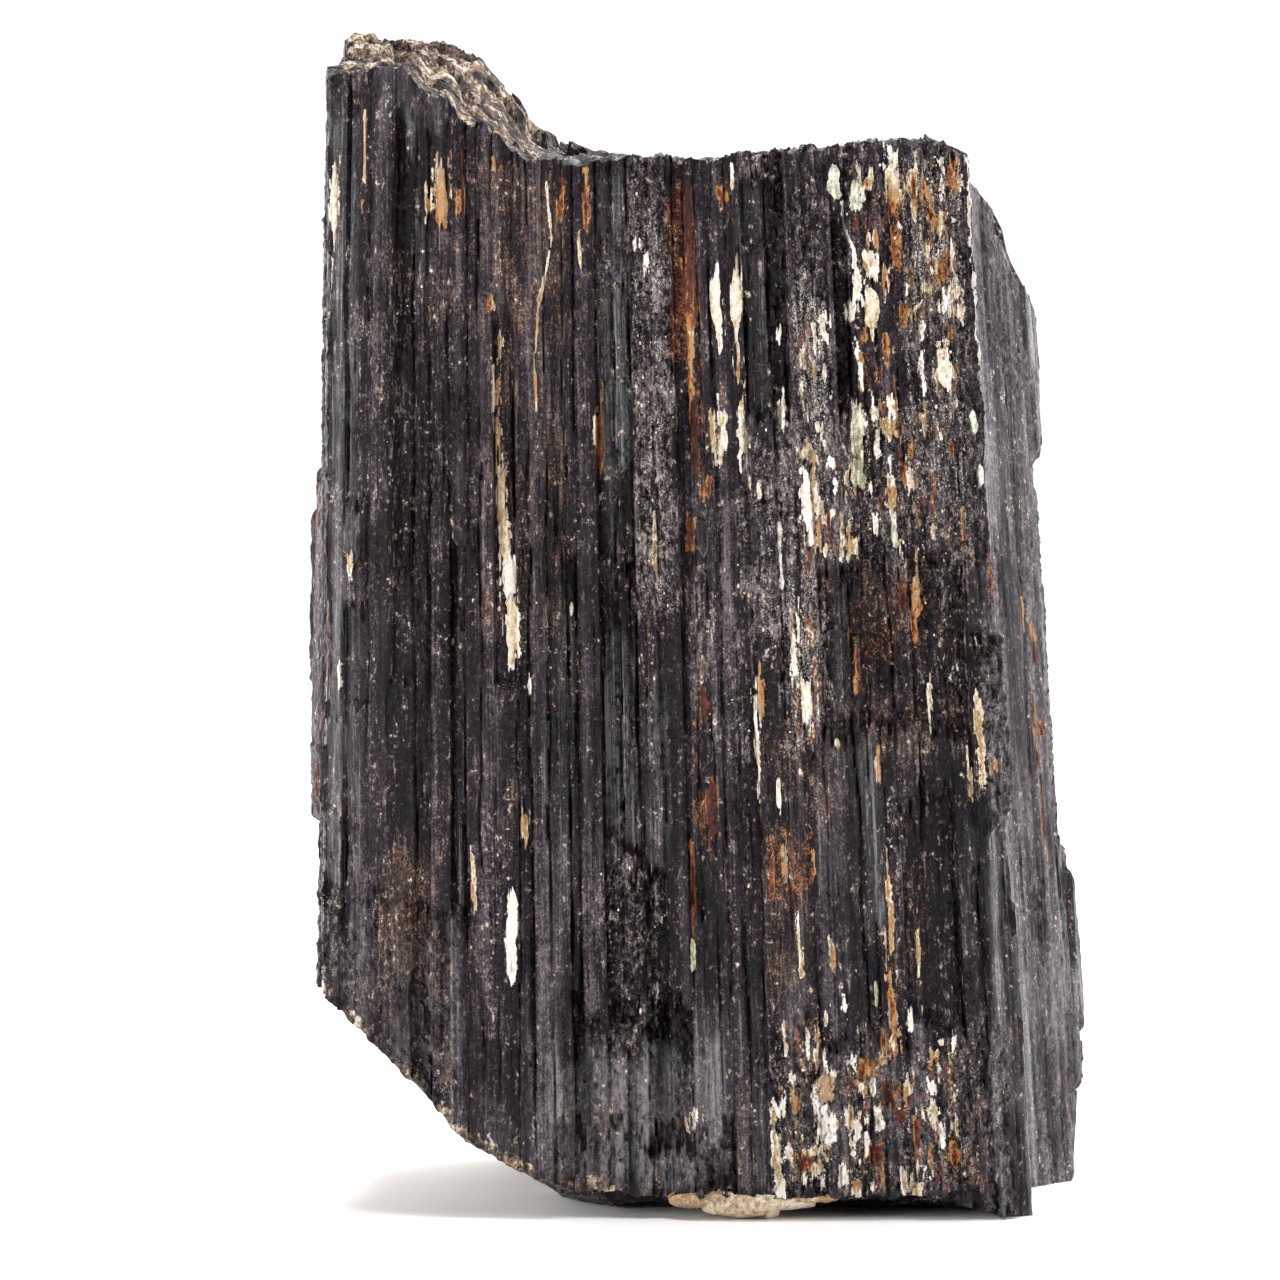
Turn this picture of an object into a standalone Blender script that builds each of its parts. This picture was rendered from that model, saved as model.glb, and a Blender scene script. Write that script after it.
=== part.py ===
"""A hand specimen of black tourmaline (schorl), about 12 cm tall.

Parallel prisms grew together into one block, which snapped off at both ends and rests on its lower break.
A finely divided cube is wrapped to the block's plan and to its two breaks, each prism on its sides is sunk
by its own depth, and the whole is tapered, thinned to flat facets and trimmed flat where it stands.
"""

import random
from collections import namedtuple

import bmesh
import bpy
import numpy as np
from mathutils import Vector, noise

MM = 0.001

# Driving dimensions, in millimetres: X to the right, Y to the back, Z up.

# The block in plan, side by side and anticlockwise from above. The rear prism stands out to the right
# past a re-entrant corner.
PLAN = {
    "front": [(-39.0, -19.5), (-32.5, -23.5), (-21.0, -25.0), (-8.0, -25.5), (6.0, -26.3), (20.0, -26.3),
              (30.5, -25.5)],
    "right": [(34.0, -22.5), (33.8, -12.0), (33.0, -3.5), (36.5, -0.5), (41.5, 5.5), (43.3, 13.0),
              (41.5, 21.0)],
    "back": [(35.5, 26.3), (22.0, 25.0), (14.0, 27.0), (0.0, 26.5), (-8.0, 24.5), (-20.0, 26.0)],
    "left": [(-32.0, 21.5), (-38.5, 14.0), (-40.3, 4.0), (-38.2, -3.0), (-39.6, -11.0)],
}
PLAN_LOST_PER_MM = 0.00097   # the block narrows upwards by this share of its plan
LEAN_PER_MM = -0.0279        # and leans to the left

# Heights of the two broken ends: (x, z) along the front rim, the back rim and the underside.
FRONT_RIM = [(-39.1, 117.1), (-30.8, 117.3), (-28.4, 114.9), (-26.2, 114.7), (-24.4, 111.9), (-20.1, 110.6),
             (-15.8, 107.4), (-10.0, 107.9), (2.9, 108.0), (14.3, 109.0), (21.1, 109.7), (29.0, 109.8),
             (34.0, 108.2)]
BACK_RIM = [(-41.2, 122.5), (-38.1, 123.6), (-29.4, 122.6), (-23.1, 120.6), (-20.1, 117.6), (-16.8, 113.8),
            (-11.7, 111.2), (-4.0, 109.0), (12.0, 107.5), (26.0, 108.5), (36.0, 106.8), (38.5, 105.0),
            (40.0, 101.0), (43.0, 96.2)]
UNDERSIDE = [(-39.6, 23.2), (-33.4, 17.9), (-27.0, 11.1), (-24.7, 8.3), (-19.3, 5.3), (-14.6, 2.7),
             (-6.5, 2.2), (-1.4, 1.5), (2.6, -0.2), (12.8, 0.7), (23.9, 0.4), (30.0, -0.3), (37.0, -0.2),
             (40.0, 2.6), (42.5, 9.2), (43.3, 15.9)]
RIM_BLEND = (-20.0, 8.0)             # the top climbs from the front rim to the back rim between these Y
STUMP_SIZE, STUMP_STEP = 4.2, 2.4    # the ends of single prisms in the upper break
BULGE = 3.4                          # the middle of the underside stands lower than its edge,
BULGE_FROM_LEFT = (-26.0, -9.0)      # growing between these X
BULGE_EDGE = (11.0, 25.0)            # and fading between these distances from the middle in Y
UNDERSIDE_LUMPS = 1.1
BREAK_ROUGHNESS = 0.45

# The prisms that show on the sides. The front's edges are X; the other sides get widths from a range.
FRONT_PRISM_EDGES = [-39.0, -37.2, -34.6, -32.1, -29.7, -27.8, -25.6, -24.0, -22.4, -20.8, -18.5, -17.0,
                     -15.2, -13.0, -11.9, -9.4, -7.4, -5.4, -3.0, -0.6, 0.9, 2.2, 3.4, 5.3, 7.2, 10.0, 12.2,
                     14.1, 17.4, 19.0, 21.8, 24.2, 27.6, 30.2, 32.2]
PRISM_WIDTHS = {"right": (2.0, 4.6), "back": (2.2, 6.5), "left": (1.8, 4.4)}
PRISM_INSET = 0.8              # the deepest that a prism is sunk on its own
PRISM_CROWN = 0.3              # depth of the grooves between prisms
PRISM_BREAKS = (0, 1, 1, 2, 3)  # how many times a prism is broken across
BREAK_HEIGHTS = (8.0, 112.0)
SEED = 11

# Larger broken places, raised places and seams, each of whole prisms. low and high are X on the front and
# back and Y on the right and left; depth is into the block; rough is the height of its hackly texture.
Panel = namedtuple("Panel", "side low high foot head depth rough")
PANELS = [
    Panel("front", -39.5, -32.1, 33.0, 119.0, 0.0, -0.2),    # smooth left face
    Panel("front", -37.2, -34.6, 63.0, 73.0, -0.5, 0.1),     # spearhead left standing on it
    Panel("front", -39.6, -24.0, 5.0, 32.0, -0.4, 0.35),     # rough foot below it
    Panel("front", -32.1, -29.7, 67.0, 113.0, 0.7, 0.0),
    Panel("front", -25.6, -24.0, 30.0, 69.0, 0.8, 0.0),
    Panel("front", -20.8, -18.5, 55.0, 92.0, 1.0, 0.0),      # groove of the tan vein
    Panel("front", -13.0, -11.9, 4.0, 67.0, 0.7, 0.0),
    Panel("front", -9.4, -5.4, 66.0, 94.5, 1.1, 0.0),        # polished trough
    Panel("front", -9.4, -5.4, 37.2, 63.0, 1.4, 0.0),        # trough that ends on a ledge
    Panel("front", -9.4, -3.0, 20.0, 34.5, 0.9, 0.35),       # splintered foot, in three steps
    Panel("front", -13.0, -0.6, 8.0, 21.0, 1.2, 0.35),
    Panel("front", -15.2, 3.4, 1.0, 8.5, 1.0, 0.3),
    Panel("front", -5.4, -0.6, 67.0, 108.0, -0.6, 0.25),     # grey ridge
    Panel("front", -0.6, 0.9, 30.0, 109.0, 0.6, 0.05),       # rust seam
    Panel("front", 7.2, 10.0, 81.0, 107.0, 0.7, 0.0),
    Panel("front", 10.0, 34.0, 67.0, 109.0, 0.0, 0.2),       # flaky upper right
    Panel("front", 17.4, 19.0, 81.0, 101.0, 1.3, 0.0),
    Panel("front", 14.1, 30.2, 50.0, 66.5, 0.8, 0.4),        # hackly break
    Panel("front", 30.2, 35.0, 40.5, 57.5, -0.7, 0.35),      # lump on the right arris
    Panel("front", 21.8, 27.6, 20.0, 43.0, 0.8, 0.0),
    Panel("front", 7.2, 32.2, 1.0, 19.5, 0.2, 0.3),          # flaky lower right
    Panel("left", 0.5, 15.0, 43.0, 76.0, -2.6, 0.1),         # sliver left standing on the left side
    Panel("left", -14.0, -6.0, 60.0, 104.0, 1.2, 0.2),
    Panel("left", 6.0, 20.0, 84.0, 112.0, 1.4, 0.3),
    Panel("right", -20.0, -12.0, 20.0, 70.0, 1.2, 0.25),
    Panel("right", -14.0, -6.0, 76.0, 101.0, 1.5, 0.1),
    Panel("right", 7.0, 12.0, 20.0, 66.0, 0.9, 0.0),
    Panel("right", 14.0, 22.0, 52.0, 88.0, 1.5, 0.3),
    Panel("back", 22.0, 33.0, 60.0, 112.0, 2.2, 0.2),
    Panel("back", 4.0, 15.0, 8.0, 47.0, 1.9, 0.35),
    Panel("back", -9.0, 1.0, 54.0, 86.0, 1.6, 0.1),
    Panel("back", -24.0, -12.0, 26.0, 72.0, 2.4, 0.3),
    Panel("back", -30.0, -22.0, 84.0, 126.0, 1.8, 0.25),
]
SPLINTER = {"front": 1.2, "right": 5.0, "back": 7.0, "left": 5.0}  # how unevenly a panel's prisms end
STEP_HEIGHT = 1.0       # the height over which a prism steps at a break
SKIN_ROUGHNESS = 0.18   # hackly texture outside the panels

# Divisions of the cube along X, Y and Z, and the facets that are kept.
DIVISIONS = (150, 84, 130)
TRIANGLES = 9600
FLOOR_SLAB = (120.0, 90.0, 9.0)

SCHORL_COLOUR = (0.012, 0.011, 0.013, 1.0)
SCHORL_ROUGHNESS = 0.32


# The outline: the plan as one closed line, measured in stations, which are distances round it that start
# at the front's left end.

CORNERS = np.array([corner for side in PLAN.values() for corner in side])
CLOSED = np.vstack([CORNERS, CORNERS[:1]])
CORNER_STATIONS = np.concatenate([[0.0], np.cumsum(np.linalg.norm(np.diff(CLOSED, axis=0), axis=1))])
GIRTH = CORNER_STATIONS[-1]
SIDES = list(PLAN)
SIDE_STARTS = CORNER_STATIONS[np.cumsum([0] + [len(PLAN[side]) for side in SIDES])]


def plan_points(stations):
    """Points (x, y) of the outline."""
    stations = stations % GIRTH
    return np.column_stack([np.interp(stations, CORNER_STATIONS, CLOSED[:, axis]) for axis in (0, 1)])


def outward(stations, reach=1.2):
    """Outward directions, which turn gradually over the corners."""
    tangents = plan_points(stations + reach) - plan_points(stations - reach)
    normals = np.column_stack([tangents[:, 1], -tangents[:, 0]])
    return normals / np.linalg.norm(normals, axis=1, keepdims=True)


def side_of(stations):
    """Index into SIDES."""
    return np.searchsorted(SIDE_STARTS[1:], stations % GIRTH, side="right")


# Small tools on whole arrays of places.

def ramp(values, low, high):
    """0 at low, 1 at high and smooth between them."""
    share = np.clip((values - low) / (high - low), 0.0, 1.0)
    return share * share * (3 - 2 * share)


def height_on(line, xs):
    """The height of a line of (x, z) points."""
    line = np.array(line)
    return np.interp(xs, line[:, 0], line[:, 1])


def wobble(x, y, z, size, seed=0.0):
    """Smooth noise from -1 to 1, with lumps about size across."""
    places = np.column_stack(np.broadcast_arrays(x / size + seed, y / size, z / size))
    return np.array([noise.noise(place) for place in places.tolist()])


def cells(x, y, size):
    """A steady random value from -0.5 to 0.5 for each prism end that a break shows."""
    places = np.column_stack(np.broadcast_arrays(x / size, y / size, 0.0))
    centres = [noise.voronoi(place)[1][0] for place in places.tolist()]
    return np.array([noise.cell(centre * 7.3) for centre in centres]) - 0.5


# The prisms round the sides.

Prisms = namedtuple("Prisms", "starts widths middles sides breaks insets splinters")


def grow_prisms():
    """The prisms in order round the outline, with their breaks, insets and splintering."""
    dice = random.Random(SEED)
    front = PLAN["front"] + PLAN["right"][:1]
    starts = np.interp(FRONT_PRISM_EDGES, [x for x, _ in front], CORNER_STATIONS[: len(front)]).tolist()
    station = SIDE_STARTS[1]
    while station < GIRTH:
        starts.append(station)
        station += dice.uniform(*PRISM_WIDTHS[SIDES[int(side_of(station))]])
    starts = np.array(starts)
    widths = np.diff(np.append(starts, GIRTH))
    middles = plan_points(starts + widths / 2)
    most = max(PRISM_BREAKS)
    breaks, insets, splinters = [], [], []
    for _ in starts:
        heights = sorted(dice.uniform(*BREAK_HEIGHTS) for _ in range(dice.choice(PRISM_BREAKS)))
        breaks.append(heights + [np.inf] * (most - len(heights)))
        insets.append([PRISM_INSET * dice.random() ** 1.5 for _ in range(most + 1)])
        splinters.append((dice.uniform(-1, 1), dice.uniform(-1, 1)))
    sides = side_of(starts + widths / 2)
    return Prisms(starts, widths, middles, sides, np.array(breaks), np.array(insets), np.array(splinters))


PRISMS = grow_prisms()


def prism_insets(own, stations, z):
    """How deep each prism's face lies: a rounded face between grooves, with a step at each break."""
    across = 2 * (stations % GIRTH - PRISMS.starts[own]) / PRISMS.widths[own] - 1
    inset = PRISMS.insets[own, 0] + PRISM_CROWN * across**4
    for step in range(PRISMS.breaks.shape[1]):
        change = PRISMS.insets[own, step + 1] - PRISMS.insets[own, step]
        broken = PRISMS.breaks[own, step]
        past = np.where(np.isfinite(broken), ramp(z - np.minimum(broken, 1e3), 0.0, STEP_HEIGHT), 0.0)
        inset += change * past
    return inset


def panel_share(panel, own, z):
    """1 on the prisms that a panel takes in and 0 elsewhere, each prism splintering at heights of its own."""
    side = SIDES.index(panel.side)
    across = PRISMS.middles[own, 0 if panel.side in ("front", "back") else 1]
    taken = (PRISMS.sides[own] == side) & (across > panel.low) & (across < panel.high)
    uneven = PRISMS.splinters[own] * SPLINTER[panel.side]
    above = ramp(z - panel.foot - uneven[:, 0], -STEP_HEIGHT / 2, STEP_HEIGHT / 2)
    below = ramp(panel.head + uneven[:, 1] - z, -STEP_HEIGHT / 2, STEP_HEIGHT / 2)
    return taken * above * below


def skin_insets(stations, z):
    """The distance from the outline in to the skin."""
    own = np.searchsorted(PRISMS.starts, stations % GIRTH, side="right") - 1
    x, y = plan_points(stations).T
    ragged = z + 0.8 * wobble(x, y, z, 0.9, 5.0)
    inset, rough = prism_insets(own, stations, ragged), np.full(len(z), SKIN_ROUGHNESS)
    for panel in PANELS:
        share = panel_share(panel, own, ragged)
        inset += share * panel.depth
        rough += share * panel.rough
    hackly = wobble(x, y, z / 2.2, 1.5, 9.0) + 0.5 * wobble(x, y, z / 1.6, 0.7, 2.0)
    return inset + np.maximum(rough, 0.0) * hackly


# The two broken ends.

def top_heights(points):
    """The upper break: a slope between the rims, stepped where single prisms end."""
    x, y = points.T
    climb = ramp(y, *RIM_BLEND)
    height = (1 - climb) * height_on(FRONT_RIM, x) + climb * height_on(BACK_RIM, x)
    step = STUMP_STEP * cells(x, y, STUMP_SIZE) * (0.25 + 0.75 * climb)
    return height + step + BREAK_ROUGHNESS * wobble(x, y, 0.0, 1.6, 3.0)


def underside_heights(points):
    """The lower break, whose middle bulges below the plane that trims it."""
    x, y = points.T
    bulge = BULGE * ramp(x, *BULGE_FROM_LEFT) * (1 - ramp(np.abs(y), *BULGE_EDGE))
    lumps = UNDERSIDE_LUMPS * wobble(x, y, 0.0, 6.0, 4.0) + BREAK_ROUGHNESS * wobble(x, y, 0.0, 1.8, 6.0)
    return height_on(UNDERSIDE, x) - bulge + lumps


def rim_points(stations, heights_of):
    """The fluted edge of a broken end."""
    plain = plan_points(stations)
    return plain - outward(stations) * skin_insets(stations, heights_of(plain))[:, None]


def end_points(right, back, heights_of):
    """Points (x, y) inside a broken end, from shares of the way to the right and to the back.

    They blend the four fluted edges, less a blend of the four corners, which the edges count twice.
    """
    front_edge = rim_points(station_along("front", right), heights_of)
    back_edge = rim_points(station_along("back", 1 - right), heights_of)
    left_edge = rim_points(station_along("left", 1 - back), heights_of)
    right_edge = rim_points(station_along("right", back), heights_of)
    corners = rim_points(SIDE_STARTS[:4], heights_of)
    right, back = right[:, None], back[:, None]
    across = (1 - right) * left_edge + right * right_edge
    along = (1 - back) * front_edge + back * back_edge
    near = (1 - right) * corners[0] + right * corners[1]
    far = (1 - right) * corners[3] + right * corners[2]
    return across + along - (1 - back) * near - back * far


def station_along(side, shares):
    """Stations at shares of the way along a side."""
    index = SIDES.index(side)
    return SIDE_STARTS[index] + shares * (SIDE_STARTS[index + 1] - SIDE_STARTS[index])


# The specimen.

def divided_cube():
    """A unit cube on the origin's positive side, cut into a grid on every face."""
    bm = bmesh.new()
    bmesh.ops.create_cube(bm, size=1.0)
    bmesh.ops.translate(bm, verts=bm.verts, vec=(0.5, 0.5, 0.5))
    for axis, divisions in enumerate(DIVISIONS):
        along = [edge for edge in bm.edges if abs(edge.verts[0].co[axis] - edge.verts[1].co[axis]) > 0.5]
        bmesh.ops.subdivide_edges(bm, edges=along, cuts=divisions - 1)
    return bm


def wrapped(cube):
    """The cube's points, each at shares (right, back, up), moved onto the specimen's straight block."""
    right, back, up = cube.T
    at_side = (right == 0) | (right == 1) | (back == 0) | (back == 1)
    stations = np.select(
        [back == 0, right == 1, back == 1],
        [station_along("front", right), station_along("right", back), station_along("back", 1 - right)],
        station_along("left", 1 - back),
    )
    block = np.zeros_like(cube)

    side = stations[at_side]
    plain = plan_points(side)
    foot, head = underside_heights(plain), top_heights(plain)
    z = foot + (head - foot) * up[at_side]
    block[at_side, :2] = plain - outward(side) * skin_insets(side, z)[:, None]
    block[at_side, 2] = z

    for end, heights_of in ((0, underside_heights), (1, top_heights)):
        inside = ~at_side & (up == end)
        points = end_points(right[inside], back[inside], heights_of)
        block[inside, :2] = points
        block[inside, 2] = heights_of(points)
    return block


def tapered(block):
    """The straight block narrowed and leaned as the real one is."""
    x, y, z = block.T
    scale = 1 - PLAN_LOST_PER_MM * z
    return np.column_stack([x * scale + LEAN_PER_MM * z, y * scale, z])


def specimen_mesh():
    """The whole specimen as one closed mesh in metres, before it is thinned and trimmed."""
    bm = divided_cube()
    cube = np.round([vert.co for vert in bm.verts], 6)
    for vert, place in zip(bm.verts, tapered(wrapped(cube)) * MM):
        vert.co = place
    mesh = bpy.data.meshes.new("tourmaline")
    bm.to_mesh(mesh)
    bm.free()
    return mesh


def schorl():
    """Black tourmaline: near black, with a glassy to satin lustre."""
    material = bpy.data.materials.new("schorl")
    material.use_nodes = True
    shader = material.node_tree.nodes["Principled BSDF"]
    shader.inputs["Base Color"].default_value = SCHORL_COLOUR
    shader.inputs["Roughness"].default_value = SCHORL_ROUGHNESS
    return material


def floor_slab():
    """A slab whose top is the plane that the specimen rests on. What reaches into it is trimmed off."""
    bm = bmesh.new()
    bmesh.ops.create_cube(bm, size=1.0)
    bmesh.ops.scale(bm, verts=bm.verts, vec=Vector(FLOOR_SLAB) * MM)
    bmesh.ops.translate(bm, verts=bm.verts, vec=(0, 0, -FLOOR_SLAB[2] / 2 * MM))
    mesh = bpy.data.meshes.new("floor_slab")
    bm.to_mesh(mesh)
    bm.free()
    slab = bpy.data.objects.new("floor_slab", mesh)
    slab.hide_render = True
    slab.display_type = "WIRE"
    bpy.context.scene.collection.objects.link(slab)
    return slab


def tourmaline():
    """The specimen: one solid, thinned to flat facets and trimmed to stand."""
    body = bpy.data.objects.new("tourmaline", specimen_mesh())
    bpy.context.scene.collection.objects.link(body)
    body.data.materials.append(schorl())
    facets = body.modifiers.new("facets", "DECIMATE")
    facets.ratio = TRIANGLES / (2 * len(body.data.polygons))
    trim = body.modifiers.new("flat foot", "BOOLEAN")
    trim.object = floor_slab()
    trim.operation = "DIFFERENCE"
    return body


for old in list(bpy.data.objects):
    bpy.data.objects.remove(old)
tourmaline()
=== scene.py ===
# %% [markdown]
# # Black tourmaline, a hand specimen
#
# Schorl is black iron tourmaline. It grows as long prisms packed side by side, so a broken block of it
# looks like a bundle of black glassy rods: striated along their length, hackly where they snapped, with
# pale albite, mica and rust in the grooves between them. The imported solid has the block's main shape.
# This script makes the fine skin, the fillings and the light, in the same place and at the same size.

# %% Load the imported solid
import itertools
import math
import random
from collections import namedtuple

import bmesh
import bpy
import numpy as np
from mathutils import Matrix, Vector, noise


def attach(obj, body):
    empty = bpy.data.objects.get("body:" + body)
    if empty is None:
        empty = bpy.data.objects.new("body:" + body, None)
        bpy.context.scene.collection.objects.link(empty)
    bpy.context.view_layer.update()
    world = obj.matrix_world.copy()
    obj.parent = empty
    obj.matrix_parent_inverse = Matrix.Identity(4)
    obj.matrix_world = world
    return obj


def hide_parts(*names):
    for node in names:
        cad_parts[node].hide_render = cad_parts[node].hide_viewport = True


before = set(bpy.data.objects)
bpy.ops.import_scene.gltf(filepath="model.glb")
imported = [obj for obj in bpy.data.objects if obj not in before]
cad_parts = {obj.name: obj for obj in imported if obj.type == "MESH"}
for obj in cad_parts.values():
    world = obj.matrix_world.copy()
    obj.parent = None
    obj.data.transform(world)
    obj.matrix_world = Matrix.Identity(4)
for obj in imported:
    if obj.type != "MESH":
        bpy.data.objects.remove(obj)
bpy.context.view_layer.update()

# %% [markdown]
# ## The block's main sizes
#
# Everything is worked out in millimetres and turned to metres at the end. The plan is one closed outline,
# listed side by side and anticlockwise from above. The block narrows a little upwards and leans to the
# left, so shapes are first made on a straight block, where every prism is upright, and then tapered and
# leaned.

# %% Sizes of the block
MM = 0.001
PLAN = {
    "front": [(-39.0, -19.5), (-32.5, -23.5), (-21.0, -25.0), (-8.0, -25.5), (6.0, -26.3), (20.0, -26.3),
              (30.5, -25.5)],
    "right": [(34.0, -22.5), (33.8, -12.0), (33.0, -3.5), (36.5, -0.5), (41.5, 5.5), (43.3, 13.0),
              (41.5, 21.0)],
    "back": [(35.5, 26.3), (22.0, 25.0), (14.0, 27.0), (0.0, 26.5), (-8.0, 24.5), (-20.0, 26.0)],
    "left": [(-32.0, 21.5), (-38.5, 14.0), (-40.3, 4.0), (-38.2, -3.0), (-39.6, -11.0)],
}
PLAN_LOST_PER_MM = 0.00097
LEAN_PER_MM = -0.0279
SEED = 11
print("the plan has", sum(len(side) for side in PLAN.values()), "corners")

# %% [markdown]
# ## Soft steps and smooth noise
#
# These tools work on whole arrays of points at once, which is what makes a skin of a third of a million
# points quick. `ramp` is a soft step. `wobble` is smooth noise, whose lumps have one size across the
# prisms and another along them, because nearly everything on this block is drawn out lengthwise. Each
# noise has its own seed, so that no two of them rise and fall together.

# %% Steps and smooth noise
Lumps = namedtuple("Lumps", "across along seed")


def ramp(values, low, high):
    """0 at low, 1 at high and smooth between them."""
    share = np.clip((values - low) / (high - low), 0.0, 1.0)
    return share * share * (3 - 2 * share)


def wobble(x, y, z, lumps):
    """Smooth noise from -1 to 1."""
    places = np.broadcast_arrays(x / lumps.across + lumps.seed, y / lumps.across, z / lumps.along)
    return np.array([noise.noise(place) for place in np.column_stack(places).tolist()])


sample = wobble(0.0, 0.0, np.array([1.0, 5.0, 9.0]), Lumps(2.0, 8.0, 1.0))
print("a wobble at three heights:", sample.round(2))

# %% [markdown]
# ## Hackly facets and prism stumps
#
# Tourmaline has no good cleavage, so it breaks into small tilted facets. `chips` makes them: space is
# divided into cells round random points, and in each cell the surface is a plane tilted its own way. The
# random points come from one table of lots, from which prisms and splinters also draw later. `stumps`
# gives each prism end that a break shows a height of its own.

# %% Chips and stumps
LOTS = np.random.default_rng(SEED).random((4099, 6))
LOT_STEPS = np.array((197, 1361, 2803))
CHIP_TILT, CHIP_STEP = 2.2, 0.9
STUMP_SPREAD = 7.3


def chips(x, y, z, lumps):
    """Heights from about -1 to 1 on flat facets, each tilted its own way."""
    scaled = np.broadcast_arrays(x / lumps.across, y / lumps.across, z / lumps.along)
    places = np.column_stack(scaled) + lumps.seed
    home = np.floor(places).astype(int)
    nearest = np.full(len(places), np.inf)
    away, lot = np.zeros_like(places), np.zeros(len(places), int)
    for step in itertools.product((-1, 0, 1), repeat=3):
        cell = home + step
        drawn = (cell @ LOT_STEPS) % len(LOTS)
        offset = places - cell - LOTS[drawn, :3]
        distance = (offset * offset).sum(axis=1)
        nearer = distance < nearest
        nearest[nearer], away[nearer], lot[nearer] = distance[nearer], offset[nearer], drawn[nearer]
    tilts = LOTS[lot, 3:] - 0.5
    return CHIP_TILT * (away * tilts).sum(axis=1) + CHIP_STEP * tilts[:, 2]


def stumps(x, y, size):
    """A steady random height from -0.5 to 0.5 for each prism end."""
    places = np.column_stack([x / size, y / size, np.zeros(len(x))]).tolist()
    return np.array([noise.cell(noise.voronoi(place)[1][0] * STUMP_SPREAD) for place in places]) - 0.5


print("one table of", len(LOTS), "lots")

# %% [markdown]
# ## Walking round the outline
#
# A place on the skin is given by a station, which is the distance walked round the plan from the front's
# left end, and a height. So one routine can grow prisms on all four sides and turn the corners without a
# break.

# %% The outline and its stations
CORNERS = np.array([corner for side in PLAN.values() for corner in side])
CLOSED = np.vstack([CORNERS, CORNERS[:1]])
CORNER_STATIONS = np.concatenate([[0.0], np.cumsum(np.linalg.norm(np.diff(CLOSED, axis=0), axis=1))])
GIRTH = CORNER_STATIONS[-1]
SIDES = list(PLAN)
SIDE_STARTS = CORNER_STATIONS[np.cumsum([0] + [len(PLAN[side]) for side in SIDES])]
CORNER_REACH = 1.2


def plan_points(stations):
    """Points (x, y) of the outline."""
    stations = stations % GIRTH
    return np.column_stack([np.interp(stations, CORNER_STATIONS, CLOSED[:, axis]) for axis in (0, 1)])


def outward(stations):
    """Outward directions, which turn gradually over the corners."""
    tangents = plan_points(stations + CORNER_REACH) - plan_points(stations - CORNER_REACH)
    normals = np.column_stack([tangents[:, 1], -tangents[:, 0]])
    return normals / np.linalg.norm(normals, axis=1, keepdims=True)


def side_of(stations):
    """Index into SIDES."""
    return np.searchsorted(SIDE_STARTS[1:], stations % GIRTH, side="right")


def station_along(side, shares):
    """Stations at shares of the way along a side."""
    index = SIDES.index(side)
    return SIDE_STARTS[index] + shares * (SIDE_STARTS[index + 1] - SIDE_STARTS[index])


def station_at(side, across):
    """The station where a side reaches X (front and back) or Y (right and left)."""
    samples = station_along(side, np.linspace(0, 1, 400))
    reached = plan_points(samples)[:, 0 if side in ("front", "back") else 1]
    return samples[np.argmin(np.abs(reached - across))]


def tapered(block):
    """The straight block narrowed and leaned as the real one is."""
    x, y, z = block.T
    scale = 1 - PLAN_LOST_PER_MM * z
    return np.column_stack([x * scale + LEAN_PER_MM * z, y * scale, z])


print("girth of the straight block:", round(GIRTH, 1), "mm")

# %% [markdown]
# ## Growing prisms, ribs and strands
#
# Seen from a step away the sides are prisms a few millimetres wide. Closer up, each is a bundle of ribs
# about a millimetre wide, and each rib a bundle of strands. Every one of them has snapped across here and
# there, so its face jumps in or out. They could be three kinds of mesh, but one skin with three families
# of steps in it has no joins to hide. The front's prisms have chosen edges, because they are what gives
# this block its face.

# %% Grow the three families
FRONT_PRISM_EDGES = [-39.0, -37.2, -34.6, -32.1, -29.7, -27.8, -25.6, -24.0, -22.4, -20.8, -18.5, -17.0,
                     -15.2, -13.0, -11.9, -9.4, -7.4, -5.4, -3.0, -0.6, 0.9, 2.2, 3.4, 5.3, 7.2, 10.0, 12.2,
                     14.1, 17.4, 19.0, 21.8, 24.2, 27.6, 30.2, 32.2]
PRISM_WIDTHS = {"right": (2.0, 4.6), "back": (2.2, 6.5), "left": (1.8, 4.4)}
RIB_WIDTHS = (0.5, 1.7)
STRAND_WIDTHS = (0.2, 0.65)
BREAK_HEIGHTS = (8.0, 112.0)
Family = namedtuple("Family", "break_counts deepest crown groove step")
PRISM_FAMILY = Family((0, 1, 1, 2, 3), 0.65, 0.08, 0.22, 0.7)
RIB_FAMILY = Family((2, 4, 6, 8, 11), 0.24, 0.04, 0.1, 0.35)
STRAND_FAMILY = Family((5, 8, 12, 16), 0.12, 0.025, 0.0, 0.3)
Bundle = namedtuple("Bundle", "family starts widths middles sides breaks insets splinters")


def grow(starts, dice, family):
    """Prisms from their edges, each with its breaks, the inset of each stretch and how it splinters."""
    widths = np.diff(np.append(starts, GIRTH))
    most = max(family.break_counts)
    breaks, insets, splinters = [], [], []
    for _ in starts:
        heights = sorted(dice.uniform(*BREAK_HEIGHTS) for _ in range(dice.choice(family.break_counts)))
        breaks.append(heights + [np.inf] * (most - len(heights)))
        insets.append([family.deepest * dice.random() ** 1.5 for _ in range(most + 1)])
        splinters.append((dice.uniform(-1, 1), dice.uniform(-1, 1)))
    middles = plan_points(starts + widths / 2)
    sides = side_of(starts + widths / 2)
    drawn = [np.array(rows) for rows in (breaks, insets, splinters)]
    return Bundle(family, starts, widths, middles, sides, *drawn)


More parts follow.
